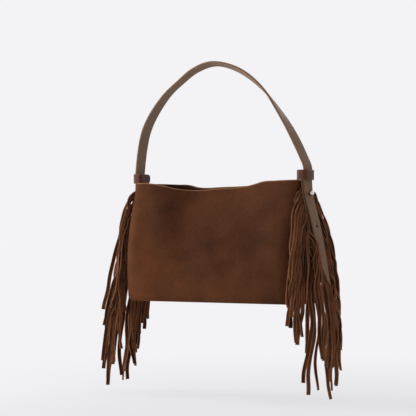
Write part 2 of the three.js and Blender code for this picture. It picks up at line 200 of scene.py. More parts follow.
@dataclass
class MeshParts:
    """Vertices, faces and the finish number of each face, gathered into one mesh."""

    points: list[Points] = field(default_factory=list)
    faces: list[tuple[int, ...]] = field(default_factory=list)
    finishes: list[int] = field(default_factory=list)
    edge: list[Points] = field(default_factory=list)

    def add(self, points: Points, faces: list[tuple[int, ...]], finishes: list[int], edge: Points) -> None:
        """Adds a closed shell, turned so that its faces point outwards.

        Args:
            points: vertices, one row each.
            faces: vertex numbers among those points.
            finishes: which material each face takes.
            edge: from 0 to 1, how near each vertex is to a cut edge.
        """
        fans = np.array([(f[0], f[j], f[j + 1]) for f in faces for j in range(1, len(f) - 1)])
        volume = np.einsum("ij,ij->", points[fans[:, 0]], np.cross(points[fans[:, 1]], points[fans[:, 2]]))
        first = sum(len(p) for p in self.points)
        for face in faces:
            numbers = [first + k for k in face]
            self.faces.append(tuple(numbers if volume > 0 else numbers[::-1]))
        self.points.append(points)
        self.finishes += finishes
        self.edge.append(edge)

    def add_sheet(self, outer: Points, inner: Points, edge: Points | None = None) -> None:
        """Adds a closed sheet between two grids of points.

        Args:
            outer: a grid of columns, rows and coordinates.
            inner: the other side's grid, of the same shape.
            edge: a grid of columns and rows, from 0 to 1, for both sides.
        """
        columns, rows = outer.shape[:2]
        number = np.arange(columns * rows).reshape(columns, rows)
        under = number + columns * rows
        patches = [
            (number[:-1, :-1], number[1:, :-1], number[1:, 1:], number[:-1, 1:]),
            (under[:-1, :-1], under[:-1, 1:], under[1:, 1:], under[1:, :-1]),
        ]
        sides = (
            (under[:, 0], number[:, 0]),
            (number[:, -1], under[:, -1]),
            (number[0], under[0]),
            (under[-1], number[-1]),
        )
        patches += [(a[:-1], a[1:], b[1:], b[:-1]) for a, b in sides]
        quads = []
        for corners in patches:
            quads += zip(*(c.ravel().tolist() for c in corners))
        points = np.vstack([outer.reshape(-1, 3), inner.reshape(-1, 3)])
        edge_paling = np.zeros(columns * rows) if edge is None else edge.ravel()
        self.add(points, quads, [0] * len(quads), np.concatenate([edge_paling, edge_paling]))

    def add_band(self, rings: Points, finishes: Sequence[int], closed: bool = False,
                 edge: Points | None = None) -> None:
        """Adds a solid swept through rings of points.

        Args:
            rings: rings, points of a ring and coordinates; each ring turns the same way.
            finishes: the material of the faces between each ring point and the next.
            closed: whether the last ring joins the first, or else both ends are capped.
            edge: from 0 to 1 for each point of a ring.
        """
        steps, around = rings.shape[:2]
        faces: list[tuple[int, ...]] = []
        marks: list[int] = []
        for i in range(steps if closed else steps - 1):
            k = (i + 1) % steps
            for j in range(around):
                n = (j + 1) % around
                faces.append((i * around + j, i * around + n, k * around + n, k * around + j))
                marks.append(finishes[j])
        if not closed:
            faces.append(tuple(range(around))[::-1])
            faces.append(tuple((steps - 1) * around + j for j in range(around)))
            marks += [finishes[0]] * 2
        edge_paling = np.zeros(around) if edge is None else edge
        self.add(rings.reshape(-1, 3), faces, marks, np.tile(edge_paling, steps))

    def object(self, name: str, materials: Sequence[Finish], sharp_degrees: float = 40) -> Piece:
        """Makes the gathered mesh an object in the scene.

        Args:
            name: the object's name.
            materials: the finishes, by number.
            sharp_degrees: edges that turn by more than this stay crisp.

        Returns:
            The new object, at the origin.
        """
        mesh = bpy.data.meshes.new(name)
        mesh.from_pydata(np.vstack(self.points).tolist(), [], self.faces)
        for material in materials:
            mesh.materials.append(material)
        mesh.polygons.foreach_set("material_index", self.finishes)
        mesh.attributes.new("edge", "FLOAT", "POINT").data.foreach_set("value", np.concatenate(self.edge))
        mesh.polygons.foreach_set("use_smooth", [True] * len(self.faces))
        mesh.update()
        mesh.set_sharp_from_angle(angle=math.radians(sharp_degrees))
        return in_scene(name, mesh)


def in_scene(name: str, data: bpy.types.ID) -> Piece:
    """A new object in the scene that shows a mesh, a lamp or a camera."""
    made = bpy.data.objects.new(name, data)
    bpy.context.collection.objects.link(made)
    return made


def baked(source: Piece) -> Piece:
    """Makes an object's modifiers part of its mesh.

    Args:
        source: the object with live modifiers.

    Returns:
        The same object with a plain mesh and no modifiers.
    """
    bpy.context.view_layer.update()
    graph = bpy.context.evaluated_depsgraph_get()
    mesh = bpy.data.meshes.new_from_object(source.evaluated_get(graph), depsgraph=graph)
    old = source.data
    source.modifiers.clear()
    source.data = mesh
    mesh.name = source.name
    bpy.data.meshes.remove(old)
    return source


def cut_with(target: Piece, cutter: Piece) -> None:
    """Cuts one closed mesh out of another and removes the cutter.

    Args:
        target: the object that gets the hole.
        cutter: the object that is cut away.
    """
    cut = target.modifiers.new("cut", "BOOLEAN")
    cut.operation = "DIFFERENCE"
    cut.solver = "EXACT"
    cut.object = cutter
    baked(target)
    bpy.data.objects.remove(cutter)


def placed(made: Piece, slot: Slot, *nodes: str) -> Piece:
    """Puts a finished piece on the bag's body and reports it.

    Args:
        made: the piece.
        slot: the record's slot for the piece; not used.
        nodes: the frame's nodes that it stands for.

    Returns:
        The piece.
    """
    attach(made, BODY)
    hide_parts(*nodes)
    stands_for = ", ".join(nodes) or "nothing"
    LOG.info("%s: %d faces, stands for %s", made.name, len(made.data.polygons), stands_for)
    return made


def turned(profile: Points, foot: Points, axis: Points, sides: int) -> Points:
    """Rings of a piece turned on a lathe.

    Args:
        profile: pairs of radius and height.
        foot: the point at height 0 on its axis.
        axis: the direction of its axis.
        sides: how many points a ring has.

    Returns:
        Rings of points in order of the profile.
    """
    axis = unit(np.asarray(axis, dtype=float))
    aside = DEPTHWISE if abs(axis[1]) < NEARLY_ALONG else np.array([1.0, 0.0, 0.0])
    across = unit(np.cross(axis, aside))
    other = np.cross(axis, across)
    angle = np.linspace(0, 2 * math.pi, sides, endpoint=False)
    circle = np.cos(angle)[:, None] * across + np.sin(angle)[:, None] * other
    return np.array([foot + height * axis + radius * circle for radius, height in profile])


def swept_solid(name: str, rings: Points, finish: Finish) -> Piece:
    """A piece of one finish, swept through rings of points."""
    parts = MeshParts()
    parts.add_band(rings, [0] * rings.shape[1])
    return parts.object(name, [finish])


# Shader nodes


@dataclass(frozen=True)
class Sketch:
    """Lays nodes in a tree and links them."""

    tree: Tree

    def node(self, kind: str, values: dict[str | int, object] | None = None, **settings: object) -> Node:
        """Adds a node of a kind, with some of its settings and inputs.

        Args:
            kind: the node's type.
            values: sockets to link or values to set, by input name or number.
            settings: the node's own settings, which are made first.

        Returns:
            The node.
        """
        made = self.tree.nodes.new(kind)
        for name, value in settings.items():
            setattr(made, name, value)
        self.fill(made, values or {})
        return made

    def fill(self, made: Node, values: dict[str | int, object]) -> None:
        """Links a node's inputs to sockets, or sets their own values.

        Args:
            made: the node.
            values: sockets or values, by input name or number.
        """
        for name, value in values.items():
            if isinstance(value, Socket):
                self.tree.links.new(value, made.inputs[name])
            else:
                made.inputs[name].default_value = value

    def math(self, operation: str, first: object, second: object = 0.0) -> Socket:
        """The result of a Math node on two sockets or numbers."""
        return self.node("ShaderNodeMath", {0: first, 1: second}, operation=operation).outputs[0]

    def noise(self, vector: Socket, scale: object, detail: float) -> Socket:
        """The value of a noise texture."""
        values = {"Vector": vector, "Scale": scale, "Detail": detail}
        return self.node("ShaderNodeTexNoise", values).outputs[0]

    def stretched(self, vector: Socket, scale: Triple) -> Socket:
        """The vector scaled along each axis."""
        return self.node("ShaderNodeMapping", {"Vector": vector, "Scale": scale}).outputs[0]

    def mix(self, factor: object, first: object, second: object) -> Socket:
        """A colour mixed from two."""
        return self.node("ShaderNodeMix", {0: factor, 6: first, 7: second}, data_type="RGBA").outputs[2]


def linear(colour: Colour) -> tuple[float, float, float, float]:
    """An 8-bit display colour as the shader's linear colour."""
    parts = [c / 255 for c in colour]
    made = [p / 12.92 if p <= 0.04045 else ((p + 0.055) / 1.055) ** 2.4 for p in parts]
    return (made[0], made[1], made[2], 1.0)


def node_group(name: str, inputs: Sequence[tuple[str, str, object]], outputs: Sequence[tuple[str, str]],
               kind: str = "ShaderNodeTree") -> tuple[Tree, Sketch, Node, Node]:
    """Starts a node group.

    Args:
        name: the group's name.
        inputs: name, socket type and starting value of each input.
        outputs: name and socket type of each output.
        kind: the kind of its tree.

    Returns:
        The tree, a sketch of it, its input node and its output node.
    """
    tree = bpy.data.node_groups.new(name, kind)
    for label, socket, value in inputs:
        made = tree.interface.new_socket(name=label, in_out="INPUT", socket_type=socket)
        if value is not None:
            made.default_value = value
    for label, socket in outputs:
        tree.interface.new_socket(name=label, in_out="OUTPUT", socket_type=socket)
    sketch = Sketch(tree)
    return tree, sketch, sketch.node("NodeGroupInput"), sketch.node("NodeGroupOutput")


VALUE, COLOUR, VECTOR = "NodeSocketFloat", "NodeSocketColor", "NodeSocketVector"
SHAPE = "NodeSocketGeometry"


@dataclass
class Effects:
    """The node groups that several finishes share, built once."""

    middle: float = 0.5
    patch_weight: float = 1.5
    stroke_weight: float = 0.5
    mottle_weight: float = 0.5
    mottle_height: float = 0.8
    fibre_weight: float = 0.6
    fibre_height: float = 0.5
    cloud_weight: float = 0.7
    speck_weight: float = 0.3
    speck_height: float = 0.4

    def __post_init__(self) -> None:
        """Builds every group."""
        self.nap = self._nap()
        self.grain = self._grain()
        self.worn_and_lit_edge = self._worn_and_lit_edge()

    def _nap(self) -> Tree:
        """Brushed nap: broad patches, soft streaks and fine fibres.

        Returns:
            A group whose Shade is about 0.5 and whose Height is for bump.
        """
        tree, sketch, given, out = node_group(
            "suede_nap",
            [("Vector", VECTOR, None), ("Patches", VALUE, 13.0), ("Fibres", VALUE, 900.0),
             ("Depth", VALUE, 1.0)],
            [("Shade", VALUE), ("Height", VALUE)],
        )
        vector = given.outputs["Vector"]
        patches = sketch.noise(vector, given.outputs["Patches"], detail=3.0)
        nap_streaks_and_painted_light = sketch.noise(sketch.stretched(vector, scale=(34.0, 34.0, 58.0)), scale=1.0, detail=4.0)
        mottle = sketch.noise(vector, scale=160.0, detail=3.0)
        fibres = sketch.noise(vector, given.outputs["Fibres"], detail=2.0)
        shade = sketch.math("MULTIPLY", sketch.math("SUBTRACT", patches, self.middle), self.patch_weight)
        for part, weight in (
            (nap_streaks_and_painted_light, self.stroke_weight),
            (mottle, self.mottle_weight),
            (fibres, self.fibre_weight),
        ):
            swing = sketch.math("SUBTRACT", part, self.middle)
            shade = sketch.math("ADD", shade, sketch.math("MULTIPLY", swing, weight))
        shade = sketch.math("MULTIPLY", shade, given.outputs["Depth"])
        fine = sketch.math("MULTIPLY", fibres, self.fibre_height)
        coarse = sketch.math("MULTIPLY", mottle, self.mottle_height)
        sketch.fill(out, {
            "Shade": sketch.math("ADD", shade, self.middle),
            "Height": sketch.math("ADD", fine, coarse),
        })
        return tree

    def _grain(self) -> Tree:
        """Leather grain: small cells with soft creases between them.

        Returns:
            A group with a Shade about 0.5 and a Height for bump.
        """
        tree, sketch, given, out = node_group(
            "leather_grain",
            [("Vector", VECTOR, None), ("Cells", VALUE, 700.0)],
            [("Shade", VALUE), ("Height", VALUE)],
        )
        vector = given.outputs["Vector"]
        cells = sketch.node(
            "ShaderNodeTexVoronoi", {"Vector": vector, "Scale": given.outputs["Cells"]}, feature="SMOOTH_F1"
        )
        clouds = sketch.noise(vector, scale=40.0, detail=3.0)
        specks = sketch.noise(vector, scale=420.0, detail=2.0)
        broad = sketch.math("MULTIPLY", clouds, self.cloud_weight)
        fine = sketch.math("MULTIPLY", specks, self.speck_height)
        sketch.fill(out, {
            "Shade": sketch.math("ADD", broad, sketch.math("MULTIPLY", specks, self.speck_weight)),
            "Height": sketch.math("SUBTRACT", fine, cells.outputs["Distance"]),
        })
        return tree

    def _worn_and_lit_edge(self) -> Tree:
        """Paler colour along cut and folded edges, broken up a little: partly the edges' own paler colour
        from use, partly painted highlight where they catch the light.

        Returns:
            A group that gives the Colour with its edges paler.
        """
        tree, sketch, given, out = node_group(
            "worn_and_lit_edge",
            [("Colour", COLOUR, None), ("Worn and lit colour", COLOUR, None), ("Edge", VALUE, 0.0),
             ("Amount", VALUE, 0.5), ("Vector", VECTOR, None)],
            [("Colour", COLOUR)],
        )
        broken = sketch.noise(given.outputs["Vector"], scale=90.0, detail=3.0)
        factor = sketch.math("MULTIPLY", given.outputs["Edge"], given.outputs["Amount"])
        factor = sketch.math("MULTIPLY", factor, sketch.math("ADD", broken, self.middle))
        worn_and_lit = sketch.mix(factor, given.outputs["Colour"], given.outputs["Worn and lit colour"])
        sketch.fill(out, {"Colour": worn_and_lit})
        return tree


def new_material(name: str) -> tuple[Finish, Sketch, Node, Socket]:
    """Starts a material with a Principled shader.

    Args:
        name: the material's name.

    Returns:
        The material, a sketch of its tree, its shader and the Object coordinates.
    """
    material = bpy.data.materials.new(name)
    material.use_nodes = True
    material.node_tree.nodes.clear()
    sketch = Sketch(material.node_tree)
    shader = sketch.node("ShaderNodeBsdfPrincipled")
    sketch.node("ShaderNodeOutputMaterial", {"Surface": shader.outputs[0]})
    coords = sketch.node("ShaderNodeTexCoord")
    return material, sketch, shader, coords.outputs["Object"]


def bump(sketch: Sketch, height: Socket, strength: float, depth: float) -> Socket:
    """The normal of a surface with a height, of this depth in metres and shown this strongly."""
    made = sketch.node("ShaderNodeBump", {"Strength": strength, "Distance": depth, "Height": height})
    return made.outputs[0]


@dataclass(frozen=True)
class WornAndLitEdge:
    """The paler colour of a finish's cut edges, partly from use and partly painted highlight, and how much of
    it shows.
    """

    colour: Colour = (150, 120, 104)
    amount: float = 0.0

    def over(self, sketch: Sketch, group: Tree, colour: Socket, coords: Socket) -> Socket:
        """Pales a colour along the edges that the piece's edge attribute marks, from use and as painted
        highlight.

        Args:
            sketch: the material's sketch.
            group: the pale edge effect.
            colour: the finish's colour.
            coords: the Object coordinates.

        Returns:
            The colour with its edges paler.
        """
        edge = sketch.node("ShaderNodeAttribute", attribute_name="edge").outputs["Fac"]
        values = {"Colour": colour, "Worn and lit colour": linear(self.colour), "Edge": edge, "Amount": self.amount}
        return sketch.node("ShaderNodeGroup", values | {"Vector": coords}, node_tree=group).outputs[0]


@dataclass(frozen=True)
class SuedeFinish:
    """Brushed suede: two shades of one brown, a soft nap, a faint sheen, the wrap's painted light and strip
    tones.
    """

    name: str
    dark: Colour
    light: Colour
    worn_and_lit: WornAndLitEdge
    patches: float = 13.0

    def material(self, effects: Effects) -> Finish:
        """Builds the suede.

        Args:
            effects: the shared node groups.

        Returns:
            The material.
        """
        material, sketch, shader, coords = new_material(self.name)
        values = {"Vector": coords, "Patches": self.patches, "Depth": 1.0}
        nap = sketch.node("ShaderNodeGroup", values, node_tree=effects.nap)
        # The attribute paints light and shade onto the wrap and gives each fringe strip its own random tone.
        brushed = sketch.node("ShaderNodeAttribute", attribute_name="brushed")
        shade = sketch.math("ADD", nap.outputs["Shade"], brushed.outputs["Fac"])
        clamped = sketch.node("ShaderNodeClamp", {0: shade})
        colour = sketch.mix(clamped.outputs[0], linear(self.dark), linear(self.light))
        sketch.fill(shader, {
            "Base Color": self.worn_and_lit.over(sketch, effects.worn_and_lit_edge, colour, coords),
            "Roughness": 0.95,
            "Specular IOR Level": 0.12,
            "Sheen Weight": 0.06,
            "Sheen Roughness": 0.6,
            "Sheen Tint": linear((176, 128, 96)),
            "Normal": bump(sketch, nap.outputs["Height"], strength=0.35, depth=0.0006),
        })
        return material


@dataclass(frozen=True)
class LeatherFinish:
    """Smooth leather with a fine grain, a soft gloss and paler cut edges, partly from use and partly painted
    highlight.
    """

    name: str
    dark: Colour
    light: Colour
    roughness: float
    worn_and_lit: WornAndLitEdge = WornAndLitEdge()
    cells: float = 800.0
    grain: float = 0.25
    shine: float = 0.3
    rough_swing: float = 0.3

    def material(self, effects: Effects) -> Finish:
        """Builds the leather.

        Args:
            effects: the shared node groups.

        Returns:
            The material.
        """
        material, sketch, shader, coords = new_material(self.name)
        values = {"Vector": coords, "Cells": self.cells}
        grain = sketch.node("ShaderNodeGroup", values, node_tree=effects.grain)
        colour = sketch.mix(grain.outputs["Shade"], linear(self.dark), linear(self.light))
        swing = sketch.math("SUBTRACT", grain.outputs["Shade"], effects.middle)
        rough = sketch.math("MULTIPLY", swing, self.rough_swing)
        sketch.fill(shader, {
            "Base Color": self.worn_and_lit.over(sketch, effects.worn_and_lit_edge, colour, coords),
            "Roughness": sketch.math("ADD", rough, self.roughness),
            "Specular IOR Level": self.shine,
            "Normal": bump(sketch, grain.outputs["Height"], self.grain, depth=0.0003),
        })
        return material


@dataclass(frozen=True)
class ClothFinish:
    """Plain woven lining cloth."""

    name: str
    dark: Colour
    light: Colour
    weave_weight: float = 0.6
    contrast: float = 0.7

    def material(self) -> Finish:
        """Builds the cloth, with threads along X and up the walls.

        Returns:
            The material.
        """
        material, sketch, shader, coords = new_material(self.name)
        values = {"Vector": coords, "Scale": 70.0, "Distortion": 0.4}
        waves = [sketch.node("ShaderNodeTexWave", values, bands_direction=axis) for axis in ("X", "Z")]
        weave = sketch.math("MULTIPLY", *(wave.outputs["Fac"] for wave in waves))
        slubs = sketch.noise(coords, scale=60.0, detail=3.0)
        uneven = sketch.math("ADD", sketch.math("MULTIPLY", weave, self.weave_weight), slubs)
        factor = sketch.math("MULTIPLY", uneven, self.contrast)
        sketch.fill(shader, {
            "Base Color": sketch.mix(factor, linear(self.dark), linear(self.light)),
            "Roughness": 0.9,
            "Specular IOR Level": 0.2,
            "Normal": bump(sketch, weave, strength=0.3, depth=0.0003),
        })
        return material


@dataclass(frozen=True)
class MetalFinish:
    """Polished plated metal with faint handling marks."""

    name: str
    colour: Colour
    roughness: float
    dimmed: float = 0.88
    dull_amount: float = 0.12

    def material(self) -> Finish:
        """Builds the metal, a little duller in patches.

        Returns:
            The material.
        """
        material, sketch, shader, coords = new_material(self.name)
        marks = sketch.noise(coords, scale=500.0, detail=3.0)
        patches = sketch.noise(coords, scale=160.0, detail=2.0)
        dull = sketch.math("MULTIPLY", patches, self.dull_amount)
        dimmed = tuple(int(c * self.dimmed) for c in self.colour)
        sketch.fill(shader, {
            "Base Color": sketch.mix(marks, linear(dimmed), linear(self.colour)),
            "Metallic": 1.0,
            "Roughness": sketch.math("ADD", dull, self.roughness),
            "Normal": bump(sketch, marks, strength=0.05, depth=0.0001),
        })
        return material


@dataclass(frozen=True)
class CardFinish:
    """Pressed fibre board."""

    name: str
    dark: Colour
    light: Colour

    def material(self) -> Finish:
        """Builds the board, with flecks of fibre.

        Returns:
            The material.
        """
        material, sketch, shader, coords = new_material(self.name)
        flecks = sketch.noise(sketch.stretched(coords, scale=(300.0, 900.0, 900.0)), scale=1.0, detail=3.0)
        sketch.fill(shader, {
            "Base Color": sketch.mix(flecks, linear(self.dark), linear(self.light)),
            "Roughness": 0.9,
            "Normal": bump(sketch, flecks, strength=0.2, depth=0.0003),
        })
        return material


class Finishes:
    """Every material of the bag."""

    def __init__(self) -> None:
        """Builds the shared effects and then each material."""
        effects = Effects()
        self.suede = SuedeFinish(
            "panel_suede", (57, 30, 15), (94, 53, 28), WornAndLitEdge((164, 116, 86), 0.7)
        ).material(effects)
        self.facing = SuedeFinish(
            "facing_suede", (48, 28, 17), (80, 50, 33), WornAndLitEdge((150, 108, 80), 0.6)
        ).material(effects)
        self.fringe = SuedeFinish(
            "fringe_suede", (50, 27, 15), (106, 64, 39), WornAndLitEdge((146, 98, 70), 0.8), patches=30.0
        ).material(effects)
        self.strap = LeatherFinish(
            "strap_leather", (102, 69, 44), (124, 89, 62), roughness=0.58, shine=0.2
        ).material(effects)
        self.strap_back = LeatherFinish(
            "strap_leather_back", (116, 93, 76), (142, 117, 98), roughness=0.85,
            cells=1300.0, grain=0.15, shine=0.15,
        ).material(effects)
        self.strap_edge = LeatherFinish(
            "strap_leather_edge", (112, 80, 58), (136, 102, 78), roughness=0.6, cells=1500.0
        ).material(effects)
        self.band = [self.strap, self.strap_back, self.strap_edge]
        # Dark brown for the keyhole cutters: painted shade inside the slots.
        self.keyhole_shade = LeatherFinish(
            "cut_leather", (44, 30, 22), (60, 42, 32), roughness=0.8, cells=1500.0
        ).material(effects)
        self.keeper = LeatherFinish(
            "keeper_leather", (70, 37, 23), (96, 57, 39), roughness=0.5,
            worn_and_lit=WornAndLitEdge((136, 92, 70), 0.6), shine=0.16,
        ).material(effects)
        self.thread = LeatherFinish(
            "waxed_thread", (84, 58, 43), (112, 82, 64), roughness=0.6, cells=2500.0
        ).material(effects)
        self.lining = ClothFinish("lining_cloth", (62, 44, 33), (92, 68, 53)).material()
        self.nickel = MetalFinish("polished_nickel", (214, 211, 206), roughness=0.12).material()
        self.board = CardFinish("base_card", (120, 104, 86), (150, 134, 114)).material()


# Geometry Nodes


STRIP_CUTS = 3
STRIP_EDGE = 0.9
CURL_POWER = 2.0
BEAD_SEGMENTS = 6
BEAD_RINGS = 5


def geometry_tree(name: str, sizes: Sequence[tuple[str, float]]) -> tuple[Tree, Sketch, Node, Node]:
    """Starts a Geometry Nodes tree that takes and gives a geometry and takes a finish.

    Args:
        name: the tree's name.
        sizes: name and starting value of each size.

    Returns:
        The tree, a sketch of it, its input node and its output node.
    """
    measures = [(label, VALUE, size) for label, size in sizes]
    inputs = [("Geometry", SHAPE, None), *measures, ("Finish", "NodeSocketMaterial", None)]
    return node_group(name, inputs, [("Geometry", SHAPE)], "GeometryNodeTree")


def end_tree(sketch: Sketch, out: Node, shape: Socket, finish: Socket) -> None:
    """Ends a tree in Realize Instances and Set Material.

    Args:
        sketch: the tree's sketch.
        out: its output node.
        shape: the geometry that was made.
        finish: the tree's material input.
    """
    real = sketch.node("GeometryNodeRealizeInstances", {0: shape})
    dressed = sketch.node("GeometryNodeSetMaterial", {"Geometry": real.outputs[0], "Material": finish})
    sketch.fill(out, {0: dressed.outputs[0]})


def run_tree(made: Piece, tree: Tree, values: dict[str, object]) -> Piece:
    """Runs a tree on an object and keeps the result as its plain mesh.

    Args:
        made: the object whose mesh goes in.
        tree: the Geometry Nodes tree.
        values: its inputs by name.

    Returns:
        The object with its new mesh.
    """
    modifier = made.modifiers.new("made", "NODES")
    modifier.node_group = tree
    for item in tree.interface.items_tree:
        if item.item_type == "SOCKET" and item.in_out == "INPUT" and item.name in values:
            modifier[item.identifier] = values[item.name]
    return baked(made)


def named_field(sketch: Sketch, name: str, kind: str) -> Socket:
    """A named attribute as a field."""
    return sketch.node("GeometryNodeInputNamedAttribute", {"Name": name}, data_type=kind).outputs[0]


def fringe_tree() -> Tree:
    """Sweeps a flat strip, its edges curled back a little, along each line of a mesh.

    Returns:
        The tree. It reads strip_normal, the way a strip faces, and strip_scale, its share of the width.
    """
    sizes = [("Strip width", 0.0055), ("Strip thickness", 0.0014), ("Curl", 0.001)]
    tree, sketch, given, out = geometry_tree("cut_strips", sizes)
    lines = sketch.node("GeometryNodeMeshToCurve", {0: given.outputs["Geometry"]})
    normal = named_field(sketch, "strip_normal", "FLOAT_VECTOR")
    values = {"Curve": lines.outputs[0], "Normal": normal}
    facing = sketch.node("GeometryNodeSetCurveNormal", values, mode="FREE")
    scale = named_field(sketch, "strip_scale", "FLOAT")
    sized = sketch.node("GeometryNodeSetCurveRadius", {"Curve": facing.outputs[0], "Radius": scale})
    values = {"Width": given.outputs["Strip thickness"], "Height": given.outputs["Strip width"]}
    section = sketch.node("GeometryNodeCurvePrimitiveQuadrilateral", values, mode="RECTANGLE")
    finer = sketch.node("GeometryNodeSubdivideCurve", {"Curve": section.outputs[0], "Cuts": STRIP_CUTS})
    place = sketch.node("ShaderNodeSeparateXYZ", {0: sketch.node("GeometryNodeInputPosition").outputs[0]})
    half = sketch.math("MULTIPLY", given.outputs["Strip width"], 0.5)
    off_middle = sketch.math("ABSOLUTE", sketch.math("DIVIDE", place.outputs["Y"], half))
    # Marks the strip's cut edges, which the fringe suede makes paler: partly from use, partly painted
    # highlight.
    at_edge = sketch.math("GREATER_THAN", off_middle, STRIP_EDGE)
    values = {"Geometry": finer.outputs[0], "Name": "edge", "Value": at_edge}
    marked = sketch.node("GeometryNodeStoreNamedAttribute", values, data_type="FLOAT", domain="POINT")
    bend = sketch.math("POWER", off_middle, CURL_POWER)
    aside = sketch.node("ShaderNodeCombineXYZ", {"X": sketch.math("MULTIPLY", bend, given.outputs["Curl"])})
    bent = sketch.node("GeometryNodeSetPosition", {"Geometry": marked.outputs[0], "Offset": aside.outputs[0]})
    values = {"Curve": sized.outputs[0], "Profile Curve": bent.outputs[0], "Fill Caps": True}
    swept = sketch.node("GeometryNodeCurveToMesh", values)
    end_tree(sketch, out, swept.outputs[0], given.outputs["Finish"])
    return tree


def stitch_tree() -> Tree:
    """Lays short stitches end to end along each line of a mesh.

    Returns:
        The tree, with the stitches' pitch, length and thread as inputs.
    """
    sizes = [("Pitch", 0.0034), ("Stitch length", 0.0025), ("Thread radius", 0.00032)]
    tree, sketch, given, out = geometry_tree("stitch_rows", sizes)
    lines = sketch.node("GeometryNodeMeshToCurve", {0: given.outputs["Geometry"]})
    values = {"Curve": lines.outputs[0], "Length": given.outputs["Pitch"]}
    spaced = sketch.node("GeometryNodeResampleCurve", values, mode="LENGTH")
    values = {"Segments": BEAD_SEGMENTS, "Rings": BEAD_RINGS, "Radius": 1.0}
    bead = sketch.node("GeometryNodeMeshUVSphere", values)
    tangent = sketch.node("GeometryNodeInputTangent")
    along = sketch.node("FunctionNodeAlignRotationToVector", {"Vector": tangent.outputs[0]}, axis="Z")
    radius = given.outputs["Thread radius"]
    half = sketch.math("MULTIPLY", given.outputs["Stitch length"], 0.5)
    size = sketch.node("ShaderNodeCombineXYZ", {0: radius, 1: radius, 2: half})
    laid = sketch.node("GeometryNodeInstanceOnPoints", {
        "Points": spaced.outputs[0],
        "Instance": bead.outputs[0],
        "Rotation": along.outputs[0],
        "Scale": size.outputs[0],
    })
    end_tree(sketch, out, laid.outputs[0], given.outputs["Finish"])
    return tree


def line_mesh(name: str, lines: Sequence[Points], values: dict[str, tuple[str, Points]]) -> Piece:
    """Makes an object of bare lines for a tree to follow.

    Args:
        name: the object's name.
        lines: the points of each line.
        values: attribute name to its type and one value for each point of all lines.

    Returns:
        The object.
    """
    edges = []
    first = 0
    for points in lines:
        edges += [(first + k, first + k + 1) for k in range(len(points) - 1)]
        first += len(points)
    mesh = bpy.data.meshes.new(name)
    mesh.from_pydata(np.vstack(lines).tolist(), edges, [])
    for label, (kind, data) in values.items():
        layer = mesh.attributes.new(label, kind, "POINT")
        held = "vector" if kind == "FLOAT_VECTOR" else "value"
        layer.data.foreach_set(held, np.asarray(data, dtype=float).ravel())
    return in_scene(name, mesh)


def stitched(name: str, rows: Sequence[Points], tree: Tree, thread: Finish) -> Piece:
    """A piece made of rows of stitches.

    Args:
        name: the piece's name.
        rows: the points of each row.
        tree: the stitch tree.
        thread: the thread's material.

    Returns:
        The piece, shaded smooth.
    """
    made = run_tree(line_mesh(name, rows, {}), tree, {"Finish": thread})
    made.data.polygons.foreach_set("use_smooth", [True] * len(made.data.polygons))
    return made


# The body


@dataclass(frozen=True)
class Wave:
    """A soft wave of the hide: its height, its length, how far it slants up the wall and its start."""

    height: float
    length: float
    slant: float
    start: float = 0.0


@dataclass(frozen=True)
class PaintedLightPatch:
    """A patch of painted light, or of painted shade where its amount is below 0: its place, its reach and its
    amount.
    """

    x: float
    z: float
    reach: float
    amount: float


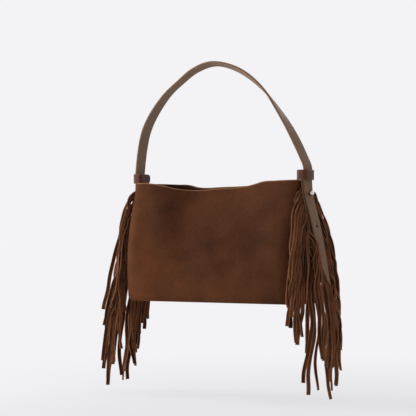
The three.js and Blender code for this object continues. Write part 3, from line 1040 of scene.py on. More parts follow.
@dataclass
class BodyShape:
    """The soft form of the bag: walls that lean in from a wide base to a drawn-in, dipped mouth."""

    half_width: float = 0.171
    height: float = 0.210
    half_base: float = 0.049
    fold: float = 0.012
    belly: float = 0.009
    end_belly: float = 0.0135
    roll: float = 0.0045
    roll_reach: float = 0.020
    roll_power: float = 2.2
    swell_power: float = 0.8
    front_waves: tuple[Wave, ...] = (
        Wave(0.0020, 0.25, 0.30, 0.10), Wave(0.0012, 0.135, -0.55, 0.35), Wave(0.0005, 0.075, 0.9),
    )
    back_waves: tuple[Wave, ...] = (Wave(0.0015, 0.26, -0.25, 0.6), Wave(0.0009, 0.14, 0.5))
    front_rim_z: Knots = (
        (-0.171, 0.2105), (-0.140, 0.2098), (-0.112, 0.2055), (-0.084, 0.1995), (-0.054, 0.1965),
        (0.0, 0.1985), (0.060, 0.2015), (0.080, 0.2050), (0.098, 0.2088), (0.125, 0.2098), (0.171, 0.2105),
    )
    back_rim_z: Knots = (
        (-0.171, 0.2105), (-0.140, 0.2095), (-0.109, 0.2080), (-0.078, 0.2065), (-0.055, 0.2020),
        (0.0, 0.2015), (0.060, 0.2035), (0.098, 0.2080), (0.171, 0.2105),
    )
    front_rim_y: Knots = (
        (-0.171, 0.0235), (-0.130, 0.0235), (-0.095, 0.0195), (-0.050, 0.0095), (0.0, 0.0070),
        (0.050, 0.0085), (0.095, 0.0150), (0.130, 0.0195), (0.171, 0.0225),
    )
    back_rim_y: Knots = (
        (-0.171, 0.0235), (-0.130, 0.0215), (-0.090, 0.0170), (-0.050, 0.0090), (0.0, 0.0070),
        (0.050, 0.0085), (0.095, 0.0145), (0.171, 0.0225),
    )
    rim_rows: tuple[float, ...] = (1.0, 0.995, 0.989, 0.975)
    wall_steps: int = 46
    fold_steps: int = 9
    base_steps: int = 14

    def rim_z(self, face: Face, x: Points) -> Points:
        """The rim's height along one face."""
        return through(self.front_rim_z if face is Face.FRONT else self.back_rim_z, x)

    def rim_half(self, face: Face, x: Points) -> Points:
        """How far the rim stands from the middle plane along one face."""
        return through(self.front_rim_y if face is Face.FRONT else self.back_rim_y, x)

    def swell(self, face: Face, x: Points, share: Points) -> Points:
        """Soft waves of the hide over a wall.

        Args:
            face: the wall's face.
            x: places along the width.
            share: shares of the wall's height.

        Returns:
            How far the wall stands out, in metres.
        """
        made = 0 * share
        for wave in self.front_waves if face is Face.FRONT else self.back_waves:
            place = x / wave.length + wave.slant * share + wave.start
            made = made + wave.height * np.sin(2 * math.pi * place)
        return made * np.sin(math.pi * np.clip(share, 0, 1)) ** self.swell_power

    def wall(self, face: Face, x: Points, share: Points) -> tuple[Points, Points]:
        """A wall's surface.

        Args:
            face: the wall's face.
            x: places along the width.
            share: shares of the wall's height, 0 at the base fold and 1 at the rim.

        Returns:
            The distance from the middle plane and the height.
        """
        z = blend(self.fold, self.rim_z(face, x), share)
        half = blend(self.half_base, self.rim_half(face, x), share)
        fullness = blend(self.belly, self.end_belly, (x / self.half_width) ** 2)
        half = half + fullness * np.sin(math.pi * share) + self.swell(face, x, share)
        return half - self.rolled(x), z

    def rolled(self, x: Points) -> Points:
        """How far a wall turns in towards the seam at the bag's ends."""
        reach = np.clip((np.abs(x) - self.half_width + self.roll_reach) / self.roll_reach, 0, 1)
        return self.roll * reach**self.roll_power

    def half_section(self, face: Face, x: Points) -> Points:
        """The surface from one rim down the wall and round the fold to the middle of the base.

        Args:
            face: the face whose half is wanted.
            x: places along the width.

        Returns:
            A grid of columns, rows and coordinates.
        """
        below_rim = self.wall_steps + 2 - len(self.rim_rows)
        share = np.concatenate([self.rim_rows, np.linspace(self.rim_rows[-1], 0, below_rim)[1:]])
        column = np.asarray(x, dtype=float)[:, None]
        half, z = self.wall(face, column, share[None, :])
        angle = np.linspace(0, math.pi / 2, self.fold_steps + 1)[1:][None, :]
        foot = self.half_base - self.fold - self.rolled(column)
        fold_half = foot + self.fold * np.cos(angle)
        fold_z = self.fold * (1 - np.sin(angle)) + 0 * column
        level = np.linspace(1, 0, self.base_steps + 1)[1:][None, :]
        base_half = foot * level
        across = face.value * np.concatenate([half, fold_half, base_half], axis=1)
        up = np.concatenate([z, fold_z, 0 * base_half], axis=1)
        return np.stack([column + 0 * up, across, up], axis=2)

    def section(self, x: Points) -> Points:
        """The whole folded surface, from the front rim under the base to the back rim."""
        front = self.half_section(Face.FRONT, x)
        back = self.half_section(Face.BACK, x)[:, ::-1]
        return np.concatenate([front, back[:, 1:]], axis=1)

    @staticmethod
    def inside(grid: Points, depth: Points | float) -> Points:
        """A grid of sections moved inwards.

        Args:
            grid: columns, rows and coordinates from section().
            depth: how far, for all rows or for each.

        Returns:
            The moved grid.
        """
        along = np.gradient(grid[:, :, 1:], axis=1)
        normal = unit(np.stack([-along[:, :, 1], along[:, :, 0]], axis=2))
        made = grid.copy()
        made[:, :, 1:] += normal * np.asarray(depth)[..., None]
        return made

    def end_outline(self, x: float, inset: float, z: Points) -> tuple[Points, Points]:
        """The front and back edge of a section, read by height.

        Args:
            x: the section's place.
            inset: how far inside the surface.
            z: the heights.

        Returns:
            Y at the front and Y at the back for each height.
        """
        grid = self.inside(self.section(np.array([x])), inset)[0]
        half = len(grid) // 2
        front, back = grid[:half], grid[half:]
        front = front[: int(np.argmin(front[:, 2])) + 1][::-1]
        back = back[int(np.argmin(back[:, 2])) :]
        return np.interp(z, front[:, 2], front[:, 1]), np.interp(z, back[:, 2], back[:, 1])


@dataclass
class BagBody:
    """The suede wrap, the gussets, the lining and the facing round the mouth."""

    shape: BodyShape
    finishes: Finishes
    # Painted light and shade on the wrap: lighter at the lower left, the left edge and the upper middle,
    # darker at the upper left and near the right end.
    nap_streaks_and_painted_light: tuple[PaintedLightPatch, ...] = (
        PaintedLightPatch(-0.12, 0.04, 0.07, 0.42), PaintedLightPatch(-0.09, 0.16, 0.07, -0.24), PaintedLightPatch(-0.168, 0.14, 0.03, 0.40),
        PaintedLightPatch(-0.026, 0.18, 0.035, 0.24), PaintedLightPatch(0.11, 0.085, 0.045, 0.15),
        PaintedLightPatch(0.13, 0.05, 0.07, -0.30), PaintedLightPatch(0.155, 0.14, 0.05, -0.32),
    )
    suede: float = 0.0018
    clear: float = 0.0003
    lining_thick: float = 0.001
    lining_lift: float = 0.0044
    lining_below: float = 0.012
    lining_rows: int = 30
    lining_share: float = 0.88
    facing_thick: float = 0.0014
    facing_height: float = 0.034
    facing_rows: int = 9
    gusset_dent: float = 0.003
    gusset_rows: int = 45
    gusset_share: float = 0.68
    crease: float = 0.0006
    crease_rows: float = 9.0
    crease_slant: float = 4.0
    plate_columns: int = 17
    columns: int = 110
    even_part: float = 0.72
    closer_part: float = 0.28
    # How much the rim's top two rows pale: suede paler from use, and painted highlight along the rim.
    rim_wear_and_highlight: Pair = (1.0, 0.8)

    def build(self) -> None:
        """Makes every sheet of the body."""
        self.wrap()
        for end in End:
            self.gusset(end)
        self.lining()
        self.facing()

    def along(self, half: float) -> Points:
        """Places along the width, closer together at the ends."""
        t = np.linspace(-1, 1, self.columns + 1)
        return half * (self.even_part * t + self.closer_part * np.sin(math.pi / 2 * t))

    def wrap(self) -> None:
        """The suede sheet that makes the front, the base and the back."""
        x = self.along(self.shape.half_width)
        outer = self.shape.section(x)
        inner = self.shape.inside(outer, self.suede)
        rows = outer.shape[1]
        edge = np.zeros(outer.shape[:2])
        for k, edge_paling in enumerate(self.rim_wear_and_highlight):
            edge[:, [k, rows - 1 - k]] = edge_paling
        parts = MeshParts()
        parts.add_sheet(outer, inner, edge=edge)
        made = placed(parts.object("wrap_suede", [self.finishes.suede]), Slot.SUEDE, "suede_wrap")
        self.brush(made)

    def brush(self, made: Piece) -> None:
        """Paints light and shade onto the wrap as an attribute, patch by patch."""
        place = np.array([v.co for v in made.data.vertices])
        shade = np.zeros(len(place))
        for painted_patch in self.nap_streaks_and_painted_light:
            far = (place[:, 0] - painted_patch.x) ** 2 + (place[:, 2] - painted_patch.z) ** 2
            shade += painted_patch.amount * np.exp(-far / painted_patch.reach**2)
        made.data.attributes.new("brushed", "FLOAT", "POINT").data.foreach_set("value", shade)

    def end_plate(self, end: End, x: float, inset: float, z: Points, thick: float) -> tuple[Points, Points]:
        """A soft plate across one end of the bag.

        Args:
            end: which end.
            x: its outer face's distance from the middle.
            inset: how far its outline lies inside the wrap.
            z: its rows' heights.
            thick: its thickness, inwards.

        Returns:
            The outer and the inner grid.
        """
        front, back = self.shape.end_outline(end.value * self.shape.half_width, inset, z)
        v = np.linspace(0, 1, self.plate_columns)[:, None]
        y = blend(front[None, :], back[None, :], v)
        rise = np.clip(z / self.shape.height, 0, 1)[None, :]
        dent = self.gusset_dent * np.sin(math.pi * v) * np.sin(math.pi * rise)
        creases = np.sin(self.crease_rows * math.pi * rise + self.crease_slant * v)
        dent = dent + self.crease * creases * np.sin(math.pi * v)
        outer = np.stack([end.value * (x - dent), y, z[None, :] + 0 * y], axis=2)
        inner = outer.copy()
        inner[:, :, 0] -= end.value * thick
        return outer, inner

    def gusset(self, end: End) -> None:
        """The suede panel sewn into one end."""
        z = np.linspace(self.suede + self.clear, self.shape.height, self.gusset_rows)
        parts = MeshParts()
        inset = self.suede + self.clear
        parts.add_sheet(*self.end_plate(end, self.shape.half_width, inset, z, self.suede))
        name = f"gusset_{end.word}"
        made = placed(parts.object(f"{name}_suede", [self.finishes.suede]), Slot.SUEDE, name)

    def inner_depths(self, rows: int) -> Points:
        """How far the lining lies inside the wrap, row by row: more over the base board."""
        wall = self.suede + self.clear
        from_rim = np.minimum(np.arange(rows), np.arange(rows)[::-1])
        over_board = ease((from_rim - self.shape.wall_steps) / self.shape.fold_steps)
        return blend(wall, self.lining_lift, over_board)

    def lining(self) -> None:
        """The cloth bag inside, up to the facing's foot."""
        half = self.shape.half_width - self.suede - self.clear
        x = self.along(half)[::2]
        grid = self.shape.section(x)
        depth = self.inner_depths(grid.shape[1])
        highest = self.shape.height - self.facing_height - self.lining_below
        keep = np.nonzero(grid[len(x) // 2, :, 2] < highest)[0]
        outer = self.shape.inside(grid, depth)[:, keep]
        inner = self.shape.inside(grid, depth + self.lining_thick)[:, keep]
        parts = MeshParts()
        parts.add_sheet(outer, inner)
        top = float(outer[:, 0, 2].max())
        z = np.linspace(self.lining_lift, top, self.lining_rows)
        for end in End:
            plate = self.end_plate(end, half - self.clear, self.suede + 2 * self.clear, z, self.lining_thick)
            parts.add_sheet(*plate)
        made = placed(parts.object("lining_cloth_bag", [self.finishes.lining]), Slot.LINING, "lining")

    def facing(self) -> None:
        """The suede band round the inside of the mouth."""
        wall = self.suede + self.clear
        half = self.shape.half_width - wall
        x = self.along(half)
        grid = self.shape.section(x)
        rows = int(self.shape.wall_steps * self.facing_height / self.shape.height) + 1
        outer = self.shape.inside(grid, wall)
        inner = self.shape.inside(grid, wall + self.facing_thick)
        parts = MeshParts()
        edge = np.zeros((len(x), rows))
        # The facing's top row pales: from use, and as painted highlight along the mouth.
        edge[:, 0] = 1
        parts.add_sheet(outer[:, :rows], inner[:, :rows], edge=edge)
        parts.add_sheet(outer[:, -rows:], inner[:, -rows:], edge=edge[:, ::-1])
        z = np.linspace(self.shape.height - self.facing_height, self.shape.height, self.facing_rows)
        for end in End:
            inset = wall + self.facing_thick + self.clear
            parts.add_sheet(*self.end_plate(end, half - self.clear, inset, z, self.facing_thick))
        made = placed(parts.object("mouth_facing_suede", [self.finishes.facing]), Slot.SUEDE, "mouth_facing")


# The ends


@dataclass
class EndLine:
    """Where the tab and the strap hang at the right end, as a place along X for a height."""

    height: float = 0.210
    tab_x: float = 0.1749
    tab_top: float = 0.228
    tab_width: float = 0.026
    tab_thick: float = 0.003
    bend: float = 0.030
    slope: float = 0.2306
    straightening: float = 0.17
    strap_thick: float = 0.0036
    strap_clear: float = 0.0005
    stud_z: float = 0.186
    neck_radius: float = 0.0024
    ball_radius: float = 0.0043
    slot_pitch: float = 0.056
    tail_spread: float = 0.0036
    slope_step: float = 0.0005

    def tab(self, z: Points) -> Points:
        """The middle of the tab's thickness."""
        below = np.maximum(0, self.height - np.asarray(z, dtype=float))
        run = np.where(below < self.bend, below**2 / (2 * self.bend), below - self.bend / 2)
        return self.tab_x + self.slope * run - self.straightening * run**2

    def strap(self, z: Points) -> Points:
        """The middle of the strap's thickness."""
        below = np.maximum(0, self.stud_z - 2 * self.ball_radius - np.asarray(z, dtype=float))
        spread = self.tail_spread * np.minimum(1, below / self.slot_pitch)
        return self.tab(z) + self.tab_thick / 2 + self.strap_clear + self.strap_thick / 2 + spread

    def outward(self, z: float) -> Points:
        """The direction square to the tab at a height, away from the bag."""
        rise = self.tab(z - self.slope_step) - self.tab(z + self.slope_step)
        return unit(np.array([1.0, 0.0, float(rise / (2 * self.slope_step))]))

    def on_axis(self, z: float, outwards: float) -> Points:
        """A point this far outwards on the axis that leaves the tab squarely at a height."""
        return np.array([float(self.tab(z)), 0.0, z]) + outwards * self.outward(z)


def mirrored(points: Points, end: End) -> Points:
    """Points made for the right end, moved to an end."""
    return np.asarray(points, dtype=float) * np.array([end.value, 1.0, 1.0])


def upright_rows(x: Points | float, places: Sequence[float], z: Points, end: End) -> list[Points]:
    """Upright lines for stitches at an end, one at each place along Y."""
    return [mirrored(np.stack([x + 0 * z, y + 0 * z, z], axis=1), end) for y in places]


def rounded_end(from_end: Points, reach: float, depth: float) -> Points:
    """How far a band's edge is drawn in where its end rounds off, up to a depth at the very end."""
    taken = np.clip(1 - from_end / reach, 0, 1)
    return depth * (1 - np.sqrt(1 - taken**2))


# The finish and the edge paling at each point of a flat band's ring, and how much its outer face rounds up
BAND_FINISHES = (0, 0, 0, 2, 2, 2, 1, 1, 1, 2, 2, 2)
BAND_EDGE = np.array([0.6, 0, 0, 0.6, 1, 1, 0.6, 0, 0, 0.6, 1, 1])
BAND_CROWN = 1.04


def flat_rings(
    path: Points, width: Points, normal: Points, half_width: Points, thick: float, corner: float
) -> Points:
    """Rings of a flat band with softened corners.

    Args:
        path: the band's middle line.
        width: the direction of its width at each point.
        normal: the direction its outer face looks at each point.
        half_width: half its width at each point.
        thick: its thickness.
        corner: how far its corners are taken off.

    Returns:
        Rings of 12 points: the outer face, an edge, the inner face and the other edge.
    """
    half = thick / 2
    crown = half * BAND_CROWN
    rings = []
    for k in range(len(path)):
        w = half_width[k]
        outline = (
            (-(w - corner), half), (-w / 3, crown), (w / 3, crown), (w - corner, half),
            (w, half - corner), (w, -(half - corner)),
            (w - corner, -half), (w / 3, -half), (-w / 3, -half), (-(w - corner), -half),
            (-w, -(half - corner)), (-w, half - corner),
        )
        rings.append([path[k] + a * width[k] + b * normal[k] for a, b in outline])
    return np.array(rings)


@dataclass
class Strap:
    """The leather shoulder strap, from one free tail over the bag to the other."""

    line: EndLine
    finishes: Finishes
    width: float = 0.025
    rise: float = 0.210
    tail: float = 0.235
    tail_step: float = 0.020
    tail_round: float = 0.004
    apex_x: float = -0.015
    slit_width: float = 0.0014
    slit_length: float = 0.009
    hole_points: int = 27
    cut_reach: float = 3.0
    corner: float = 0.0008
    per_span: int = 24
    steps: int = 420
    arch: Knots = (
        (-0.915, 0.466), (-0.687, 0.735), (-0.488, 0.865), (-0.309, 0.956), (0.0, 1.0),
        (0.213, 0.932), (0.488, 0.768), (0.69, 0.562), (0.82, 0.4), (0.95, 0.2),
    )
    twist: Knots = (
        (0.0, 0.0), (0.22, 0.0), (0.34, 0.0), (0.40, -5.0), (0.43, -4.0), (0.46, 2.0), (0.50, 11.0),
        (0.53, 19.0), (0.555, 25.0), (0.60, 25.0), (0.62, 22.0), (0.635, 17.0), (0.66, 9.0),
        (0.685, 3.0), (0.705, 0.0), (0.75, 0.0), (1.0, 0.0),
    )

    def path(self) -> Points:
        """The strap's middle line from the left tail's end to the right one's.

        Returns:
            Points at even steps along the line.
        """
        top = self.line.tab_top + self.line.strap_thick
        foot = self.line.height - self.tail
        heights = [*np.arange(foot, top - self.tail_step / 2, self.tail_step), top]
        right = np.array([[float(self.line.strap(z)), 0.0, z] for z in heights])
        span = float(self.line.strap(self.line.tab_top))
        rise = self.rise - self.line.strap_thick / 2
        over = []
        for across, up in self.arch:
            x = across * span if up < 1 else self.apex_x
            over.append([x, 0.0, self.line.height + up * rise])
        knots = np.vstack([mirrored(right, End.LEFT), over, right[::-1]])
        return evenly(smooth_path(knots, self.per_span), self.steps)

    def build(self) -> None:
        """Makes the strap and cuts its keyholes."""
        path = self.path()
        tangent = unit(np.gradient(path, axis=0))
        normal = np.stack([-tangent[:, 2], 0 * tangent[:, 0], tangent[:, 0]], axis=1)
        turn = np.radians(through(self.twist, np.linspace(0, 1, len(path))))[:, None]
        width = np.cos(turn) * DEPTHWISE - np.sin(turn) * normal
        face = np.cos(turn) * normal + np.sin(turn) * DEPTHWISE
        run = np.linspace(0, path_length(path), len(path))
        from_end = np.minimum(run, run[::-1])
        half = self.width / 2 - rounded_end(from_end, self.tail_round, self.tail_round)
        rings = flat_rings(path, width, face, half, self.line.strap_thick, self.corner)
        parts = MeshParts()
        parts.add_band(rings, BAND_FINISHES, edge=BAND_EDGE)
        made = parts.object("strap_leather_band", self.finishes.band)
        for end in End:
            for z in (self.line.stud_z, self.line.stud_z - self.line.slot_pitch):
                cut_with(made, self.keyhole(end, z))
        placed(made, Slot.STRAP, "strap")

    def keyhole(self, end: End, z: float) -> Piece:
        """A cutter for a stud's hole and the slit above it, in a dark brown that paints shade inside the
        slot.

        Args:
            end: which tail it cuts.
            z: the hole's height.

        Returns:
            The cutter.
        """
        outward = self.line.outward(z)
        reach = self.cut_reach * self.line.strap_thick
        centre = self.line.on_axis(z, float(self.line.strap(z) - self.line.tab(z)))
        up = np.cross(outward, -DEPTHWISE)
        up = up if up[2] > 0 else -up
        radius = self.line.neck_radius + self.line.strap_clear
        begin = math.asin(self.slit_width / 2 / radius)
        angles = np.linspace(begin, 2 * math.pi - begin, self.hole_points)
        outline = [(radius * math.sin(a), radius * math.cos(a)) for a in angles]
        outline += [(-self.slit_width / 2, self.slit_length), (self.slit_width / 2, self.slit_length)]
        rings = [
            [centre + s * reach * outward + a * DEPTHWISE + b * up for a, b in outline]
            for s in (-0.5, 0.5)
        ]
        return swept_solid("keyhole", mirrored(np.array(rings), end), self.finishes.keyhole_shade)


@dataclass
class Tab:
    """The leather strip at one end that carries the stud and the fringe."""

    end: End
    line: EndLine
    finishes: Finishes
    stitches: Tree
    foot: float = 0.056
    rounding: float = 0.006
    corner: float = 0.0006
    rows: int = 90
    hole_clear: float = 0.0003
    hole_reach: float = 0.006
    hole_sides: int = 32
    seam_top: float = 0.186
    seam_foot: float = 0.066
    seam_aside: float = 0.0098
    seam_lift: float = 1.06
    seam_points: int = 60

    def build(self) -> None:
        """Makes the strip, its stud's hole and its two rows of stitches."""
        z = np.linspace(self.line.tab_top, self.foot, self.rows)
        path = np.stack([self.line.tab(z), 0 * z, z], axis=1)
        tangent = unit(np.gradient(path, axis=0))
        normal = mirrored(np.stack([-tangent[:, 2], 0 * z, tangent[:, 0]], axis=1), self.end)
        width = np.tile(DEPTHWISE, (len(z), 1))
        from_end = np.minimum(self.line.tab_top - z, z - self.foot)
        half = self.line.tab_width / 2 - rounded_end(from_end, self.rounding, self.rounding)
        rings = flat_rings(mirrored(path, self.end), width, normal, half, self.line.tab_thick, self.corner)
        parts = MeshParts()
        parts.add_band(rings, BAND_FINISHES, edge=BAND_EDGE)
        name = f"tab_{self.end.word}"
        made = parts.object(f"{name}_leather", self.finishes.band)
        cut_with(made, self.stud_hole())
        placed(made, Slot.STRAP, name)
        z = np.linspace(self.seam_top, self.seam_foot, self.seam_points)
        x = self.line.tab(z) + self.line.tab_thick / 2 * self.seam_lift
        seams = upright_rows(x, (-self.seam_aside, self.seam_aside), z, self.end)
        placed(stitched(f"{name}_stitches", seams, self.stitches, self.finishes.thread), Slot.STRAP)

    def stud_hole(self) -> Piece:
        """A cutter for the hole that the stud's neck passes through.

        Returns:
            The cutter.
        """
        radius = self.line.neck_radius + self.hole_clear
        profile = [(radius, -self.hole_reach), (radius, self.hole_reach)]
        centre = self.line.on_axis(self.line.stud_z, 0)
        rings = turned(profile, centre, self.line.outward(self.line.stud_z), self.hole_sides)
        return swept_solid("stud_hole", mirrored(rings, self.end), self.finishes.strap_edge)


@dataclass
class Keeper:
    """The leather loop round tab and strap at one end, with its sewn-over end."""

    end: End
    line: EndLine
    finishes: Finishes
    stitches: Tree
    foot: float = 0.2103
    height: float = 0.017
    wall: float = 0.002
    corner: float = 0.0055
    corner_points: int = 7
    slack: float = 0.002
    inner_slack: float = 0.0055
    pinch: float = 0.38
    pinch_reach: float = 0.007
    soft: float = 0.0005
    worn_and_lit_band: float = 0.0016
    flap_thick: float = 0.0012
    flap_gap: float = 0.00005
    flap_short: float = 0.0025
    flap_round: float = 0.007
    flap_draw: float = 0.006
    flap_columns: int = 24
    flap_rows: int = 7
    seam_in: float = 0.003
    seam_lift: float = 0.0001
    fold_seam: float = 0.0035
    end_seam: float = 0.0025
    seam_points: int = 12

    def build(self) -> None:
        """Makes the loop, its sewn-over flap and the flap's stitches."""
        inside = self.line.tab_x - self.line.tab_thick / 2 - self.line.strap_clear - self.inner_slack
        outside = float(self.line.strap(self.line.tab_top)) + self.line.strap_thick / 2 + self.slack
        half = self.line.tab_width / 2 + self.line.strap_clear
        low = np.array([inside - self.wall, -half - self.wall])
        high = np.array([outside + self.wall, half + self.wall])
        reach = half - self.flap_short
        parts = MeshParts()
        self.add_loop(parts, low, high)
        self.add_flap(parts, low[0], reach)
        name = f"keeper_{self.end.word}"
        placed(parts.object(f"{name}_leather", [self.finishes.keeper]), Slot.KEEPER, name)
        top = self.foot + self.height
        z = np.linspace(self.foot + self.seam_in, top - self.seam_in, self.seam_points)
        x = low[0] - self.flap_thick - self.seam_lift
        seams = upright_rows(x, (-reach + self.fold_seam, reach - self.end_seam), z, self.end)
        placed(stitched(f"{name}_stitches", seams, self.stitches, self.finishes.thread), Slot.KEEPER)

    def plan(self, low: Points, high: Points) -> tuple[Points, Points]:
        """A rounded rectangle seen from above.

        Args:
            low: its lowest X and Y.
            high: its highest X and Y.

        Returns:
            The points and the outward direction at each.
        """
        radius = self.corner
        points, normals = [], []
        for cx, cy, start in (
            (high[0] - radius, high[1] - radius, 0),
            (low[0] + radius, high[1] - radius, 90),
            (low[0] + radius, low[1] + radius, 180),
            (high[0] - radius, low[1] + radius, 270),
        ):
            for a in np.radians(np.linspace(start, start + 90, self.corner_points)):
                normals.append([math.cos(a), math.sin(a), 0.0])
                points.append([cx + radius * math.cos(a), cy + radius * math.sin(a), 0.0])
        return np.array(points), np.array(normals)

    def add_loop(self, parts: MeshParts, low: Points, high: Points) -> None:
        """Adds the loop's band, less tall at the corner where it is pinched.

        Args:
            parts: the mesh that takes it.
            low: the loop's lowest X and Y.
            high: its highest X and Y.
        """
        points, normals = self.plan(low, high)
        foot, wall, soft = self.foot, self.wall, self.soft
        top = foot + self.height
        outline = (
            (0, foot + soft), (0, foot + self.worn_and_lit_band), (0, top - self.worn_and_lit_band), (0, top - soft),
            (-soft, top), (soft - wall, top),
            (-wall, top - soft), (-wall, foot + soft), (soft - wall, foot), (-soft, foot),
        )
        # Paler top and foot edges of the loop, partly from use and partly painted highlight; its inner face a
        # little paler.
        edge = np.array([0.6, 0, 0, 0.6, 1, 1, 0.3, 0.3, 1, 1])
        middle = foot + self.height / 2
        far = np.linalg.norm(points[:, :2] - np.array([low[0], high[1]]), axis=1)
        tall = 1 - self.pinch * np.exp(-((far / self.pinch_reach) ** 2))
        rings = np.array([
            [p + n * d + np.array([0, 0, middle + (z - middle) * t]) for d, z in outline]
            for p, n, t in zip(points, normals, tall)
        ])
        parts.add_band(mirrored(rings, self.end), [0] * len(outline), closed=True, edge=edge)

    def add_flap(self, parts: MeshParts, x: float, reach: float) -> None:
        """Adds the loop's end, lapped over its inner side and rounded off.

        Args:
            parts: the mesh that takes it.
            x: the loop's inner side.
            reach: how far the flap goes to each side of the middle.
        """
        y = np.linspace(-reach, reach, self.flap_columns)
        drawn = rounded_end(reach - y, self.flap_round, self.flap_draw)[:, None]
        up = np.linspace(0, 1, self.flap_rows)[None, :]
        z = self.foot + self.soft + drawn + up * (self.height - 2 * self.soft - 2 * drawn)
        under = np.stack([0 * z + x - self.flap_gap, y[:, None] + 0 * z, z], axis=2)
        over = under.copy()
        over[:, :, 0] -= self.flap_thick
        edge = np.zeros(z.shape)
        edge[[0, -1]] = 1
        edge[:, [0, -1]] = 0.6
        parts.add_sheet(mirrored(over, self.end), mirrored(under, self.end), edge=edge)


@dataclass
class BallStud:
    """The ball stud at one end that buttons into the strap."""

    end: End
    line: EndLine
    finishes: Finishes
    pole_gap: float = 0.02
    ball_rows: int = 22
    sides: int = 32

    def build(self) -> None:
        """Makes the neck and the ball, and dresses the screw behind them."""
        line = self.line
        neck = line.tab_thick + 2 * line.strap_clear + line.strap_thick
        ball = line.ball_radius
        shoulder = math.asin(line.neck_radius / ball)
        centre = neck + ball * math.cos(shoulder)
        profile = [(line.neck_radius, 0.0), (line.neck_radius, neck)]
        for angle in np.linspace(shoulder, math.pi - self.pole_gap, self.ball_rows)[1:]:
            profile.append((ball * math.sin(angle), centre - ball * math.cos(angle)))
        foot = line.on_axis(line.stud_z, -line.tab_thick / 2)
        rings = mirrored(turned(profile, foot, line.outward(line.stud_z), self.sides), self.end)
        name = f"stud_{self.end.word}"
        placed(swept_solid(f"{name}_ball", rings, self.finishes.nickel), Slot.NICKEL, name)
        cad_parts[f"stud_screw_{self.end.word}"].data.materials[0] = self.finishes.nickel


# The fringe


@dataclass
class PanelHang:
    """How the strips of one fringe panel hang, from the top of the tab, its middle and its foot.

    fan is how far strips swing along the bag's depth, drift how far they lean away from its end,
    fan_fall and drift_fall how far they fall meanwhile, kick how far the roots first stand out,
    spread how unevenly they lean, back the share of the drift lost again further down, turn the way
    they face, over the strips across the strap's tail, each with its distance from the tail's middle,
    arch how far the top root stands out before it falls, and late how far strips fall before they lean.
    """

    seed: int
    fan: Triple
    drift: Triple
    kick: float
    fan_fall: float
    drift_fall: float
    spread: float
    back: float
    turn: float
    over: dict[int, float] = field(default_factory=dict)
    arch: float = 0.0
    late: float = 0.0

    def leaned(self, down: Points) -> Points:
        """The share of the drift that a strip has reached at distances below its root."""
        if self.late:
            return ease((down - self.late) / self.drift_fall)
        return 1 - np.exp(-down / self.drift_fall)


@dataclass(frozen=True)
class StripFall:
    """How a cut strip falls from its root, the same for every panel.

    Names in _fall, _from, _over and _by are distances below the root, or shares of the length for the
    curl. Strides part neighbours. waves gives the heights and lengths of the long and the short waves.
    """

    samples: int = 260
    longer: float = 1.2
    loose_by: float = 0.07
    curl_from: float = 0.7
    curl_over: float = 0.4
    wander: float = 0.006
    fan_stride: float = 0.618
    fan_start: float = 0.1
    fan_jitter: Pair = (0.005, 0.022)
    lean_stride: float = 0.755
    lean_start: float = 0.3
    lean_even: float = 0.5
    behind_lean: float = 0.7
    behind_from: float = 0.004
    behind_over: float = 0.010
    root_power: int = 3
    root_in: float = 0.0015
    edge_clear: float = 0.0045
    edge_fall: float = 0.012
    kick_fall: float = 0.022
    back_from: float = 0.11
    back_over: float = 0.12
    tail_clear: float = 0.0050
    tail_fall: float = 0.028
    cross_from: float = 0.020
    cross_over: float = 0.075
    uneven: Pair = (-0.03, 0.01)
    waves: tuple[tuple[Pair, Pair], ...] = (
        ((0.0007, 0.0025), (0.085, 0.15)),
        ((0.0001, 0.0007), (0.045, 0.07)),
    )

    def waved(self, rng: Draws, down: Points) -> Points:
        """The gentle waves of a strip that was bent and hung out again.

        Args:
            rng: the panel's random numbers.
            down: distances below the strip's root.

        Returns:
            How far the strip stands off its line at each distance.
        """
        made = 0 * down
        for heights, lengths in self.waves:
            height = rng.uniform(*heights)
            place = down / rng.uniform(*lengths) + rng.random()
            made = made + height * np.sin(2 * math.pi * place)
        return made


@dataclass(frozen=True)
class StripLook:
    """How a cut strip turns, widens and shades along its length.

    Names in _by are shares of the length, pairs a least and a greatest value, and turns are in radians.
    """

    seed_step: int = 100
    turn_spread: float = 0.7
    flipped: float = 0.35
    turn_by: float = 0.26
    twist: Pair = (0.1, 0.6)
    twists: Pair = (0.8, 1.6)
    twist_by: float = 0.3
    widths: Pair = (0.93, 1.03)
    root_wider: float = 0.4
    root_by: float = 0.16
    shade_spread: float = 0.32

    def turn_along(self, rng: Draws, panel_turn: float, along: Points) -> Points:
        """How far a strip is turned along its length.

        Args:
            rng: the panel's random numbers.
            panel_turn: how far its panel's strips turn, in radians.
            along: shares of its length.

        Returns:
            The turn at each share, in radians.
        """
        aside = rng.uniform(-self.turn_spread, self.turn_spread) - panel_turn
        turn = (aside + math.pi * (rng.random() < self.flipped)) * ease(along / self.turn_by)
        twist = rng.uniform(*self.twist)
        place = along * rng.uniform(*self.twists) + rng.random()
        return turn + twist * np.sin(2 * math.pi * place) * ease(along / self.twist_by)

    def width_along(self, rng: Draws, along: Points) -> Points:
        """The share of the strip's width at shares of its length."""
        return rng.uniform(*self.widths) * (1 + self.root_wider * (1 - ease(along / self.root_by)))


